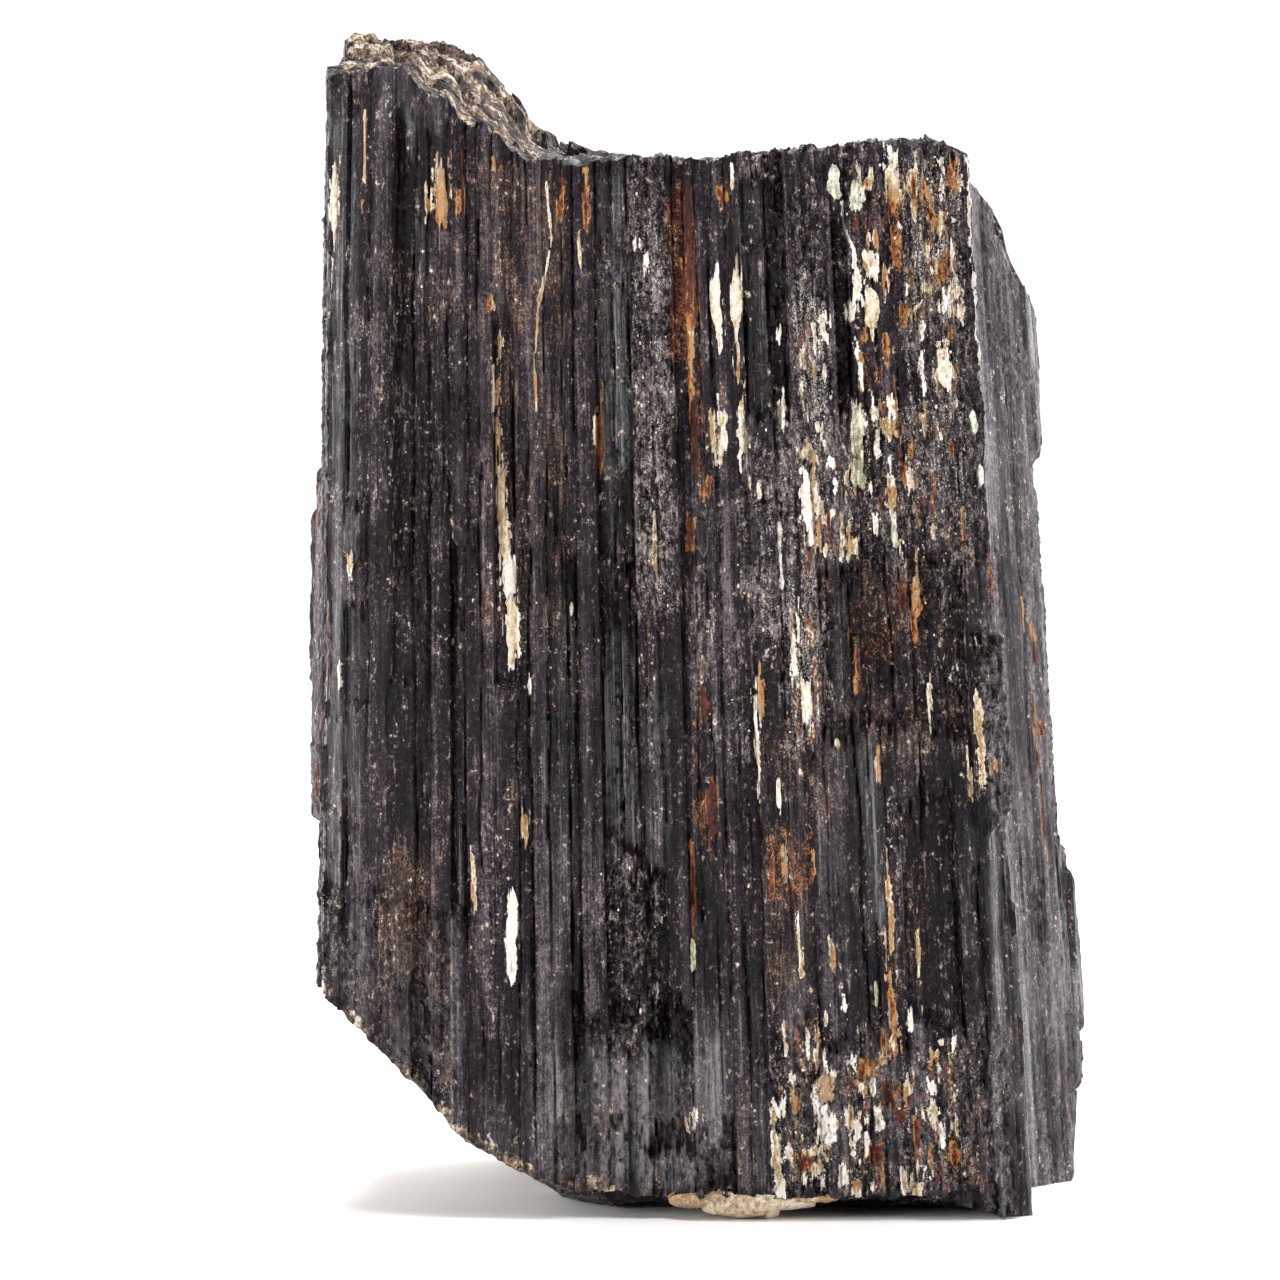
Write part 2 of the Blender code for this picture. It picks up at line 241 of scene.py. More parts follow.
def prism_edges(dice):
    """The front's chosen edges, then random widths round the other sides."""
    front = PLAN["front"] + PLAN["right"][:1]
    edges = np.interp(FRONT_PRISM_EDGES, [x for x, _ in front], CORNER_STATIONS[: len(front)]).tolist()
    station = SIDE_STARTS[1]
    while station < GIRTH:
        edges.append(station)
        station += dice.uniform(*PRISM_WIDTHS[SIDES[int(side_of(station))]])
    return np.array(edges)


def finer_edges(dice, coarse, widths):
    """Every edge of the coarser bundle is kept, with more edges between them."""
    edges = []
    for start, width in zip(coarse.starts, coarse.widths):
        station = start
        while station < start + width - 0.6 * widths[0]:
            edges.append(station)
            station += dice.uniform(*widths)
    return np.array(edges)


dice = random.Random(SEED)
PRISMS = grow(prism_edges(dice), dice, PRISM_FAMILY)
RIBS = grow(finer_edges(dice, PRISMS, RIB_WIDTHS), dice, RIB_FAMILY)
STRANDS = grow(finer_edges(dice, RIBS, STRAND_WIDTHS), dice, STRAND_FAMILY)
print(len(PRISMS.starts), "prisms,", len(RIBS.starts), "ribs,", len(STRANDS.starts), "strands")

# %% [markdown]
# ## Faces, grooves and polish
#
# Each face is slightly rounded and lies at its own depth, which changes where it snapped. Between
# neighbours there is a groove, and real grooves close up and open again as they run. The edges also stray
# a little from straight lines, because a growing prism gives way to its neighbours. No two faces took the
# same polish, and that difference in tone tells them apart as much as the grooves do. Sunk faces are also
# painted darker, as shade.

# %% Faces, grooves and polish
GROOVE_REACH = 0.3
GROOVE_OPENING = Lumps(2.0, 13.0, 71.0)
EDGE_STRAY, EDGE_STRAYING = 0.45, Lumps(2.5, 9.0, 61.0)
PRISM_LOT, RIB_LOT = 17, 29
PRISM_POLISH, RIB_POLISH, SUNK_PAINTED_SHADE = 1.6, 0.5, 0.8


def owner(bundle, stations):
    """The prism, rib or strand that each station is on."""
    return np.searchsorted(bundle.starts, stations % GIRTH, side="right") - 1


def strayed(stations, z):
    """Stations as the straying edges see them."""
    x, y = plan_points(stations).T
    return stations + EDGE_STRAY * wobble(x, y, z, EDGE_STRAYING)


def groove_shares(bundle, stations, z):
    """1 in an open groove between two neighbours and 0 on their faces."""
    x, y = plan_points(stations).T
    own = owner(bundle, stations)
    along = stations % GIRTH - bundle.starts[own]
    share = 1 - ramp(np.minimum(along, bundle.widths[own] - along), 0.0, GROOVE_REACH)
    return share * ramp(wobble(x, y, z, GROOVE_OPENING), -0.35, 0.35)


def insets_of(bundle, stations, z):
    """How deep each face lies: rounded between grooves, with a step at each break."""
    own = owner(bundle, stations)
    across = 2 * (stations % GIRTH - bundle.starts[own]) / bundle.widths[own] - 1
    inset = bundle.insets[own, 0] + bundle.family.crown * across**4
    if bundle.family.groove:
        inset += bundle.family.groove * groove_shares(bundle, stations, z)
    for step in range(bundle.breaks.shape[1]):
        change = bundle.insets[own, step + 1] - bundle.insets[own, step]
        broken = np.minimum(bundle.breaks[own, step], 1e3)
        inset += change * ramp(z - broken, 0.0, bundle.family.step)
    return inset


def tones(stations, depth):
    """How light each prism and rib is, from about -1 to 1. Sunk ones are painted darker, as shade."""
    prism_lots = LOTS[owner(PRISMS, stations) * PRISM_LOT % len(LOTS), 4] - 0.5
    rib_lots = LOTS[owner(RIBS, stations) * RIB_LOT % len(LOTS), 5] - 0.5
    return PRISM_POLISH * prism_lots + RIB_POLISH * rib_lots - SUNK_PAINTED_SHADE * np.clip(depth, -0.2, 1.0)


print("a groove reaches", GROOVE_REACH, "mm to either side, and an edge strays by up to", EDGE_STRAY, "mm")

# %% [markdown]
# ## Broken, raised and hackly places
#
# Where several prisms broke away together there is a sunk panel with a ragged end, and where they stayed
# there is a raised one. These are listed in millimetres on the straight block, because each is a
# feature of this one specimen. The last number is how hackly the place is.

# %% Panels
Panel = namedtuple("Panel", "side low high foot head depth rough")
PANEL_ROWS = {
    "front": [
        (-39.5, -32.1, 33.0, 119.0, -0.2, -0.2), (-39.5, -37.2, -9.0, 130.0, -0.7, 0.0),
        (-37.2, -34.6, 63.0, 73.0, -0.5, 0.1), (-39.6, -24.0, 5.0, 32.0, -0.4, 0.22),
        (-32.1, -29.7, 67.0, 113.0, 0.7, 0.0), (-25.6, -24.0, 30.0, 69.0, 0.8, 0.0),
        (-20.8, -18.5, 55.0, 92.0, 1.0, 0.0), (-13.0, -11.9, 4.0, 67.0, 0.7, 0.0),
        (-9.4, -5.4, 66.0, 94.5, 1.1, 0.0), (-9.4, -5.4, 37.2, 63.0, 1.4, 0.0),
        (-9.4, -3.0, 20.0, 34.5, 0.9, 0.25), (-13.0, -0.6, 8.0, 21.0, 1.2, 0.22),
        (-15.2, 3.4, 1.0, 8.5, 1.0, 0.2), (-5.4, -0.6, 67.0, 108.0, -0.6, 0.25),
        (-0.6, 0.9, 30.0, 109.0, 0.6, 0.05), (7.2, 12.2, 81.0, 107.0, 0.8, 0.0),
        (10.0, 34.0, 67.0, 109.0, 0.0, 0.2), (17.4, 19.0, 81.0, 101.0, 1.3, 0.0),
        (14.1, 30.2, 50.0, 66.5, 0.8, 0.22), (30.2, 35.0, 40.5, 57.5, -0.7, 0.35),
        (21.8, 27.6, 20.0, 43.0, 0.8, 0.0), (7.2, 32.2, 1.0, 19.5, 0.2, 0.3),
    ],
    "left": [
        (0.5, 15.0, 43.0, 73.0, -2.6, 0.1), (-21.0, -9.0, -9.0, 140.0, -1.0, 0.1),
        (-9.0, -5.0, 60.0, 104.0, 1.2, 0.2), (6.0, 20.0, 84.0, 112.0, 1.4, 0.3),
    ],
    "right": [
        (-20.0, -12.0, 20.0, 70.0, 1.2, 0.25), (-14.0, -6.0, 76.0, 101.0, 1.5, 0.1),
        (7.0, 12.0, 20.0, 66.0, 0.9, 0.0), (6.0, 27.0, 34.0, 82.0, 1.5, 0.1),
        (6.0, 27.0, -9.0, 14.0, 1.2, 0.1), (14.0, 22.0, 52.0, 88.0, 1.5, 0.3),
    ],
    "back": [
        (22.0, 33.0, 60.0, 112.0, 2.2, 0.2), (4.0, 15.0, 8.0, 47.0, 1.9, 0.35),
        (-9.0, 1.0, 54.0, 86.0, 1.6, 0.1), (-24.0, -12.0, 26.0, 72.0, 2.4, 0.3),
        (-30.0, -22.0, 84.0, 126.0, 1.8, 0.25),
    ],
}
PANELS = [Panel(side, *row) for side, rows in PANEL_ROWS.items() for row in rows]
SPLINTER = {"front": 1.2, "right": 5.0, "back": 7.0, "left": 5.0}
SKIN_ROUGHNESS = 0.06
print(len(PANELS), "panels")


def panel_share(panel, own, z):
    """1 on the prisms that a panel takes in and 0 elsewhere, each prism splintering at its own heights."""
    across = PRISMS.middles[own, 0 if panel.side in ("front", "back") else 1]
    on_side = PRISMS.sides[own] == SIDES.index(panel.side)
    uneven = PRISMS.splinters[own] * SPLINTER[panel.side]
    slope = max(PRISM_FAMILY.step / 2, 0.7 * abs(panel.depth))
    above = ramp(z - panel.foot - uneven[:, 0], -slope, slope)
    below = ramp(panel.head + uneven[:, 1] - z, -slope, slope)
    return (on_side & (across > panel.low) & (across < panel.high)) * above * below


def panelled(stations, z):
    """The panels' depth and roughness at each place."""
    own = owner(PRISMS, stations)
    depth, rough = np.zeros(len(z)), np.full(len(z), SKIN_ROUGHNESS)
    for panel in PANELS:
        share = panel_share(panel, own, z)
        depth += share * panel.depth
        rough += share * panel.rough
    return depth, np.maximum(rough, 0.02)


# %% [markdown]
# ## Finishes and where they are
#
# The finish changes from place to place, and so does the fine relief under it. Seven finishes are told
# apart: `gloss_and_sheen` on unstained glassy faces, whose colour also gets a painted sheen, `sugar` where the
# surface is a crust of fine grey grains, `film` where brown dust is caught, `rust` where iron oxide stains it,
# `pale` where threads of albite show, `clean_and_shaded` where there is less dust and the black is painted
# darker as shade, and `dust_and_reflection` where it is softly grey, partly from dust and partly from painted
# reflected light. The front's patches are listed in millimetres on the straight block: from where to where
# across, foot, head and amount. The other sides have patches that drift with the prisms. Each finish is stored
# on the skin's points as a number, so that one material can show them all.

# %% Zones of the front
Zone = namedtuple("Zone", "low high foot head amount")
ZONE_ROWS = {
    # Glassy faces, whose colour also gets a painted sheen.
    "gloss_and_sheen": [
        (-39.0, -36.1, 32.6, 111.6, 0.7), (-29.9, -27.1, 93.6, 101.5, 0.7), (-9.7, -6.1, 98.7, 107.0, 0.7),
        (-9.4, -5.9, 74.9, 97.1, 1.0), (-9.7, -5.8, 37.7, 58.9, 1.0), (7.1, 12.7, 80.7, 105.2, 0.4),
        (17.7, 20.0, 29.5, 48.3, 1.0), (12.8, 14.9, 32.6, 44.8, 0.6), (31.1, 34.4, 9.3, 58.9, 0.6),
        (-16.0, -10.7, 32.6, 63.0, 0.4), (-28.8, -23.6, 16.4, 32.6, 0.3), (-0.1, 6.1, 4.3, 22.5, 0.5),
        (-4.9, -2.1, 36.7, 53.9, 0.5),
    ],
    "sugar": [
        (-5.6, -0.8, 61.0, 107.5, 0.9), (12.5, 16.6, 67.0, 95.0, 1.0), (12.5, 16.6, 95.0, 109.3, 0.45),
        (16.0, 33.5, 67.0, 83.8, 0.6), (6.2, 12.5, 58.9, 80.7, 0.85), (9.8, 15.2, 48.3, 67.0, 0.8),
        (1.8, 34.6, 107.0, 109.6, 0.7), (24.6, 32.9, 76.1, 107.6, 0.75), (-10.1, -3.8, 18.4, 36.7, 0.6),
        (23.5, 31.1, 58.9, 67.0, 0.35), (28.7, 34.0, 42.7, 56.9, 0.3), (-39.4, -36.1, 21.5, 32.6, 0.4),
        (-39.1, -36.9, 67.0, 76.1, 0.3), (7.0, 31.5, 2.2, 17.4, 0.5), (0.2, 7.7, 46.8, 67.0, 0.35),
        (-33.2, -28.8, 75.1, 97.4, 0.3), (18.4, 21.7, 94.4, 107.5, 0.5), (-27.6, -17.4, 112.6, 117.7, 0.5),
    ],
    "film": [
        (-22.7, -12.2, 88.3, 108.2, 0.95), (-22.9, -12.6, 58.9, 88.3, 0.6),
        (-36.2, -28.4, 81.2, 108.5, 0.35), (-28.4, -22.0, 90.3, 112.6, 0.5),
        (-33.2, -26.7, 19.4, 37.7, 1.0), (-28.8, -18.2, 36.7, 52.9, 0.35), (6.9, 15.5, 38.9, 51.4, 0.7),
        (7.1, 12.2, 22.5, 39.5, 1.0), (15.7, 28.6, 45.8, 52.9, 0.8), (19.7, 21.3, 13.3, 36.4, 1.0),
        (22.0, 25.1, 22.5, 43.7, 0.6), (17.6, 29.4, 57.9, 67.0, 0.7), (-5.1, 1.3, 52.9, 67.0, 0.35),
        (4.8, 7.5, 102.5, 105.6, 0.6), (-14.5, 5.9, 2.2, 14.4, 0.5), (-38.1, -22.6, 14.4, 29.6, 0.5),
        (25.8, 29.7, 95.0, 107.6, 0.6), (29.4, 31.8, 43.7, 52.9, 0.8), (-4.2, 1.4, 93.4, 100.4, 0.3),
    ],
    "rust": [
        (-1.2, 1.7, 87.8, 106.0, 0.9), (1.1, 2.6, 73.1, 87.8, 0.7), (-20.1, -17.8, 105.0, 107.4, 0.8),
        (-13.4, -12.1, 101.5, 108.5, 0.7), (-10.0, -8.7, 75.6, 81.2, 0.6), (-0.6, 1.9, 52.9, 67.0, 0.45),
        (-0.1, 2.9, 38.9, 44.6, 1.0), (7.3, 12.4, 32.0, 39.5, 0.8), (23.9, 26.6, 90.3, 93.4, 0.8),
        (20.6, 22.8, 97.4, 103.5, 0.6), (23.5, 26.2, 58.9, 67.0, 0.6), (16.9, 22.8, 54.9, 63.0, 0.6),
        (8.0, 30.4, 2.2, 13.4, 0.5), (-23.2, -18.8, 85.3, 90.3, 0.4), (-31.4, -28.3, 29.6, 32.6, 0.7),
        (-29.0, -23.1, 103.5, 109.6, 0.35), (33.9, 35.4, 63.0, 73.1, 1.0), (30.5, 32.2, 104.5, 108.4, 0.9),
        (28.0, 32.4, 91.0, 100.5, 0.6),
    ],
    "pale": [
        (3.7, 7.4, 89.0, 96.5, 0.5), (2.4, 4.6, 77.6, 83.8, 0.7), (10.7, 14.6, 48.9, 64.5, 0.9),
        (6.5, 8.9, 48.9, 55.2, 0.6), (12.5, 16.6, 81.2, 93.4, 0.75), (25.7, 33.4, 90.3, 107.6, 0.8),
        (17.1, 31.9, 67.0, 85.3, 0.6), (7.0, 13.1, 2.2, 20.4, 0.75), (20.2, 29.4, 2.2, 18.4, 0.7),
        (13.0, 20.2, 2.2, 19.4, 0.55), (19.5, 25.5, 84.0, 107.0, 0.55), (-4.7, -1.4, 63.0, 90.3, 0.2),
        (12.5, 23.4, 63.0, 79.2, 0.5), (-11.1, -5.8, 22.5, 36.7, 0.15),
    ],
    # Patches with less dust, whose black is also painted darker, as shade.
    "clean_and_shaded": [
        (-17.0, -6.0, 39.0, 82.0, 0.9), (8.0, 33.0, 22.0, 66.0, 0.6), (16.5, 19.5, 48.0, 60.0, 1.0),
        (-30.0, -22.0, 60.0, 88.0, 0.4), (-3.0, 6.0, 20.0, 44.0, 0.5), (12.0, 16.0, 100.0, 107.0, 0.5),
    ],
    # Softly grey places, partly dust and partly painted reflected light: along the foot, where the white floor
    # would be mirrored, and on faces turned to the sides.
    "dust_and_reflection": [
        (-40.0, 35.0, -2.0, 13.0, 0.35), (7.0, 31.5, 2.0, 19.0, 0.45), (-16.0, 3.0, 2.0, 18.0, 0.65),
        (-39.5, -36.8, 33.0, 112.0, 0.35), (30.6, 34.4, 0.0, 37.0, 0.35),
        (-33.0, -26.0, 110.0, 118.0, 0.5), (15.5, 31.0, 67.0, 80.0, 0.3), (-39.5, -24.0, 14.0, 30.0, 0.4),
    ],
}
ZONES = {finish: [Zone(*row) for row in rows] for finish, rows in ZONE_ROWS.items()}
FINISHES = list(ZONES)
print(sum(len(rows) for rows in ZONES.values()), "zones of", len(FINISHES), "finishes")

# %% [markdown]
# ## How much of each finish a place has
#
# A zone fades over its edges, and its edges are made ragged by noise, more along the prisms than across
# them. Off the front, a slow drift decides instead, with a strength for each side in the order front,
# right, back, left.

# %% Amounts of the finishes
ZONE_EDGE, ZONE_END = 0.8, 2.2
RAGGED_ZONES = Lumps(1.6, 4.8, 7.0)
DRIFT_ACROSS, DRIFT_ALONG, DRIFT_SEED, DRIFT_SEED_STEP = 6.0, 30.0, 3.0, 11
DRIFT_SHARE = {"gloss_and_sheen": 0.5, "sugar": 0.5, "film": 0.45, "rust": 0.22, "pale": 0.3, "clean_and_shaded": 0.4,
               "dust_and_reflection": 0.4}
DULL_DRIFT, GLOSS_AND_SHEEN_DRIFT = (0.2, 0.3, 0.8, 0.6), (0.2, 1.0, 0.7, 0.6)
LEAST_DUST_AND_REFLECTION = (0.0, 0.8, 0.3, 0.3)
DUST_AND_REFLECTION_CLOUDS = Lumps(4.0, 14.0, 91.0)


def inside(zone, x, z):
    """1 inside a zone, fading over its edges and ends."""
    across = ramp(x, zone.low - ZONE_EDGE, zone.low + ZONE_EDGE)
    across = across * (1 - ramp(x, zone.high - ZONE_EDGE, zone.high + ZONE_EDGE))
    along = ramp(z, zone.foot - ZONE_END, zone.foot + ZONE_END)
    return across * along * (1 - ramp(z, zone.head - ZONE_END, zone.head + ZONE_END))


def finish_amounts(stations, z):
    """How much of each finish there is at each place of the sides."""
    x, y = plan_points(stations).T
    side = side_of(stations)
    uneven = wobble(x, y, z, RAGGED_ZONES)
    amounts = {}
    for number, finish in enumerate(FINISHES):
        amount = np.zeros(len(z))
        for zone in ZONES[finish]:
            share = inside(zone, x + 0.8 * uneven, z + 4 * uneven) * (side == 0)
            amount = np.maximum(amount, zone.amount * share)
        drift = wobble(x, y, z, Lumps(DRIFT_ACROSS, DRIFT_ALONG, DRIFT_SEED + DRIFT_SEED_STEP * number))
        strength = np.array(GLOSS_AND_SHEEN_DRIFT if finish == "gloss_and_sheen" else DULL_DRIFT)[side]
        elsewhere = ramp(drift + DRIFT_SHARE[finish] - 0.45, 0.0, 0.5)
        amounts[finish] = np.maximum(amount, elsewhere * strength)
    # Each side has a least amount of it, most on the right: partly dust and partly painted reflected light.
    cloud = 0.85 + 0.6 * wobble(x, y, z, DUST_AND_REFLECTION_CLOUDS)
    amounts["dust_and_reflection"] = np.maximum(amounts["dust_and_reflection"], cloud * np.array(LEAST_DUST_AND_REFLECTION)[side])
    return amounts


print("off the front, finishes drift over", DRIFT_ACROSS, "by", DRIFT_ALONG, "mm")

# %% [markdown]
# ## Minerals in the grooves
#
# White albite, silvery mica and rust grew in the grooves, in threads and flakes that run along the
# prisms. Most lie flush, so they belong to the skin itself. The larger ones are listed as X, Z,
# width and height in millimetres, with the tint at the head and at the foot: 0 is white, 0.3 cream, 0.5
# amber and 1 dark rust. The small ones are scattered where they crowd, and thin lines that bend are given
# by their points. The other sides have runs of threads along chosen grooves.

# %% Fillings of the front
FILLINGS = [
    # The left half, from the top down.
    (-35.5, 107.5, 0.4, 8, 0.4, 0.4), (-38.5, 104, 1.1, 7.5, 0.2, 0.2), (-26.5, 104, 1.4, 6.5, 0.35, 0.5),
    (-28, 103, 0.7, 3.5, 0.4, 0.4), (-24.5, 103.5, 0.7, 2, 0.5, 0.55), (-4.5, 99, 0.8, 1.5, 0, 0.1),
    (-11, 98, 0.4, 4, 0.35, 0.4), (-3.5, 97, 0.7, 2, 0, 0.05), (-39, 95, 0.7, 9, 0.3, 0.5),
    (-20, 89, 0.9, 2.5, 0.3, 0.35), (-20.3, 82.5, 0.8, 11, 0.4, 0.35), (-9.5, 80.5, 0.5, 3, 0.2, 0.3),
    (-20.2, 76, 0.9, 4, 0.3, 0.35), (-20, 73, 1, 6, 0.35, 0.3), (-25.5, 73, 0.2, 9, 0.35, 0.35),
    (-19.6, 69, 1.2, 4.5, 0.3, 0.15), (-3.2, 68.5, 0.5, 7, 0.4, 0.3), (-36.5, 66.5, 0.8, 2, 0.4, 0.1),
    (-19.4, 65.5, 1.5, 5.5, 0.1, 0.1), (-18.8, 60, 1.6, 7, 0.25, 0.2), (-37.5, 55, 0.5, 3.5, 0.05, 0.1),
    (-17, 54.5, 0.4, 2, 0, 0.1), (-18, 40, 0.7, 4, 0.35, 0.4), (-23.2, 35.5, 0.5, 7.5, 0.4, 0.35),
    (-19.3, 29.5, 1.1, 9, 0.05, 0.05),
    # The upper right: two pale pairs, then the crowded columns near the corner.
    (4.2, 93, 1.2, 8, 0.1, 0.15), (6.4, 93.5, 1.5, 6.5, 0.2, 0.2), (6.3, 87, 0.6, 7, 0.2, 0.3),
    (6.6, 80.5, 1, 7.5, 0.4, 0.2), (4.4, 80.5, 0.9, 7, 0.25, 0.3), (3.4, 79, 0.5, 5, 0.4, 0.35),
    (8, 74.5, 1.4, 2, 0.1, 0.1), (10.4, 66.5, 0.7, 7, 0.1, 0.15), (13.1, 65, 0.4, 5.5, 0.3, 0.35),
    (11.2, 82, 0.7, 5, 0.05, 0.1), (10.9, 90, 0.5, 4, 0.1, 0.1), (6.5, 107, 0.5, 3.5, 0, 0.05),
    (24.7, 108, 1.5, 2.5, 0, 0.05), (24.5, 105, 1.6, 4, 0.15, 0.5), (24.6, 102, 1.3, 2, 0.85, 0.8),
    (24.5, 98.5, 1.2, 5, 0.6, 0.6), (22, 99.5, 1.5, 2, 0.35, 0.45), (21.8, 97, 1.6, 3, 0.1, 0.1),
    (26.3, 104.5, 0.8, 2.5, 0.3, 0.35), (27.1, 105.5, 0.6, 4.5, 0.4, 0.4), (28.1, 104.5, 0.7, 6, 0.4, 0.4),
    (31.9, 106, 1.6, 3, 0.55, 0.5), (30.2, 104.5, 0.9, 2, 0.05, 0.05), (29.4, 101.5, 1.9, 2.5, 0.3, 0.4),
    (31.3, 98.5, 0.9, 3.5, 0.05, 0.1), (28, 98.5, 0.6, 4, 0.3, 0.15), (28.8, 98, 0.8, 4, 0.15, 0.2),
    (29.8, 96.5, 1.7, 2.5, 0.6, 0.55), (20.1, 95.5, 0.8, 3, 0.05, 0.05), (29.5, 95.5, 1, 2, 0.55, 0.6),
    (27, 95.5, 1.5, 1.5, 0.5, 0.45), (31.7, 94.5, 1.7, 2, 0.15, 0.3), (29.9, 93, 1.8, 1.5, 0.05, 0.05),
    (21.6, 92.5, 1.6, 4.5, 0.1, 0.3), (19.2, 92.5, 1.4, 2.5, 0.2, 0.15), (30.3, 92, 1.1, 2, 0.1, 0.4),
    (25.2, 92, 2.3, 2, 0.5, 0.55), (16.1, 91, 1.4, 2, 0.05, 0.05), (16.2, 89, 0.9, 2, 0, 0),
    (22.8, 88.5, 0.8, 3, 0.65, 0.65), (29.3, 86.5, 1.8, 4.5, 0.1, 0.1), (22.1, 82.5, 0.7, 3.5, 0.6, 0.65),
    (23.1, 82.5, 1.3, 2.5, 0.1, 0.2), (26.7, 81.5, 1, 2, 0.5, 0.5), (22.6, 80.5, 2, 2, 0.4, 0.4),
    (19.2, 80, 1.5, 6, 0.1, 0.15), (21.3, 78.5, 0.8, 3.5, 0.1, 0.1), (23.7, 80.5, 0.2, 7.5, 0.8, 0.85),
    (13.6, 77.5, 1.9, 1.5, 0.3, 0.35), (16.2, 77, 0.9, 2, 0.05, 0.1), (18.6, 75, 2.1, 2, 0.4, 0.35),
    (22.7, 73.5, 1.1, 3.5, 0.45, 0.3), (13.4, 73, 1, 6.5, 0, 0), (14.1, 73.5, 0.8, 6.5, 0.3, 0.25),
    (15.8, 70.5, 0.7, 3, 0.85, 0.85), (17.3, 70, 0.9, 2.5, 0.5, 0.15), (14.3, 69.5, 0.9, 3, 0.55, 0.6),
    (13.8, 69, 1.5, 2, 0.3, 0.3), (22.8, 68.5, 1.1, 2, 0.45, 0.05), (18.2, 68.5, 1.4, 3, 0.4, 0.3),
    # The middle right.
    (28.6, 63, 0.6, 5, 0.2, 0.2), (12, 61, 0.6, 4, 0.1, 0.15), (11.3, 56, 0.8, 6, 0.1, 0.1),
    (7.7, 53.5, 0.9, 4.5, 0.4, 0.4), (25.6, 53, 0.5, 6, 0.2, 0.2), (13.7, 52.5, 0.4, 5, 0.15, 0.15),
    (12.5, 52.5, 1, 5, 0.1, 0.1), (6.8, 52, 0.7, 6.5, 0.1, 0.1), (30.6, 49, 0.9, 8.5, 0.4, 0.4),
    (31.9, 46, 1.2, 1.5, 0.4, 0.45), (6.9, 45.5, 0.3, 7, 0.3, 0.3), (29.6, 45, 0.5, 6, 0.35, 0.35),
    (9, 43, 0.5, 3, 0.3, 0.35), (9.6, 36, 0.5, 6, 0.3, 0.4),
    # The lower right.
    (10.8, 26.5, 0.5, 7, 0.25, 0.3), (14.2, 27, 0.6, 3, 0.25, 0.35), (15.2, 21.5, 0.6, 2, 0.05, 0.05),
    (22, 20.5, 0.8, 2, 0.15, 0.1), (-0.4, 10, 0.9, 2.5, 0.1, 0.3), (0.2, 14.5, 0.4, 2.5, 0.05, 0.1),
    (-1.5, 9.5, 0.6, 2, 0.25, 0.3), (13.4, 20, 0.5, 3.5, 0.05, 0.15), (8.9, 17.5, 0.5, 4.5, 0.1, 0.15),
    (12.6, 16.5, 0.8, 3, 0.1, 0.05), (12.8, 13.5, 1.8, 3, 0.3, 0.4), (12, 12.5, 1.3, 2.5, 0, 0),
    (12.2, 10.5, 1.2, 2, 0, 0), (12.2, 9, 1.8, 2, 0, 0.05), (7.8, 11, 1.2, 2, 0.1, 0.4),
    (7.5, 7, 0.9, 5.5, 0.15, 0.2), (7.7, 3.5, 1.2, 2, 0.1, 0.1), (8.9, 7, 0.9, 2, 0.15, 0.2),
    (10.1, 6, 1.9, 2, 0.85, 0.6), (11.5, 7, 2.3, 1.5, 0.3, 0.35), (11.7, 5, 1.4, 2.5, 0.3, 0.2),
    (14.1, 4, 1, 2.5, 0, 0.05), (15.6, 10, 1.3, 2.5, 0.35, 0.1), (15.6, 3, 1, 2, 0.45, 0.1),
    (17, 15, 1.8, 2.5, 0.55, 0.6), (17.5, 7, 1.8, 2.5, 0.6, 0.7), (18.7, 16.5, 1, 1.5, 0.3, 0.4),
    (18.8, 13, 0.7, 2, 1, 1), (20.4, 18, 0.9, 2.5, 0.45, 0.5), (20.2, 13, 0.9, 2, 0.7, 0.7),
    (22.1, 10, 0.7, 3.5, 0.6, 0.65), (23.8, 13.5, 0.9, 2.5, 0, 0), (23.8, 11, 1, 2.5, 0.2, 0.3),
    (24.1, 16.5, 1, 2.5, 0.35, 0.3), (23.6, 6.5, 1, 2.5, 0.4, 0.35), (23.6, 4.5, 1.2, 1.5, 0.05, 0.05),
    (22.2, 5, 1.4, 1.5, 0.2, 0.25), (21.7, 3, 1.4, 2.5, 0.2, 0.2), (25.7, 6.5, 1.1, 2.5, 0.6, 0.6),
    (26.4, 18.5, 0.5, 2, 0.1, 0.1), (26.2, 13, 0.5, 2.5, 0.1, 0.1),
    # Rust, from the left.
    (-39.2, 61.5, 0.7, 5.5, 0.7, 0.7), (-35.5, 104, 0.5, 6, 0.7, 0.65), (-23.9, 106.5, 0.5, 7, 0.8, 0.85),
    (-21, 93, 0.6, 3, 0.6, 0.6), (-20, 107, 1.4, 1.5, 0.6, 0.6), (-13.3, 103, 0.9, 3.5, 0.6, 0.65),
    (-10.1, 103, 0.7, 6, 0.6, 0.65), (-9.1, 80, 0.6, 8.5, 0.8, 0.85), (-0.2, 32.5, 0.5, 10, 0.8, 0.85),
    (0.3, 47, 0.7, 8, 0.75, 0.75), (2, 41.5, 1.2, 5.5, 0.75, 0.8), (1.5, 52.5, 1, 3, 0.8, 0.8),
    (0.6, 70, 1.1, 3, 0.65, 0.7), (2.4, 74, 1, 2, 0.7, 0.65), (1.2, 79.5, 0.9, 9, 0.85, 0.85),
    (1.2, 85.5, 0.7, 9, 0.6, 0.75), (1.2, 91.5, 1.2, 3, 0.7, 0.5), (1.1, 96, 1.6, 7.5, 0.8, 0.7),
    (1.4, 102.5, 1, 7, 0.9, 0.85), (4.9, 104, 1.8, 2.5, 0.7, 0.65), (8.2, 35, 0.6, 3.5, 0.6, 0.65),
    (12.4, 36, 0.4, 4, 0.55, 0.6), (18.1, 55.5, 0.8, 3.5, 0.8, 0.75), (19.6, 45.5, 0.6, 6, 0.55, 0.6),
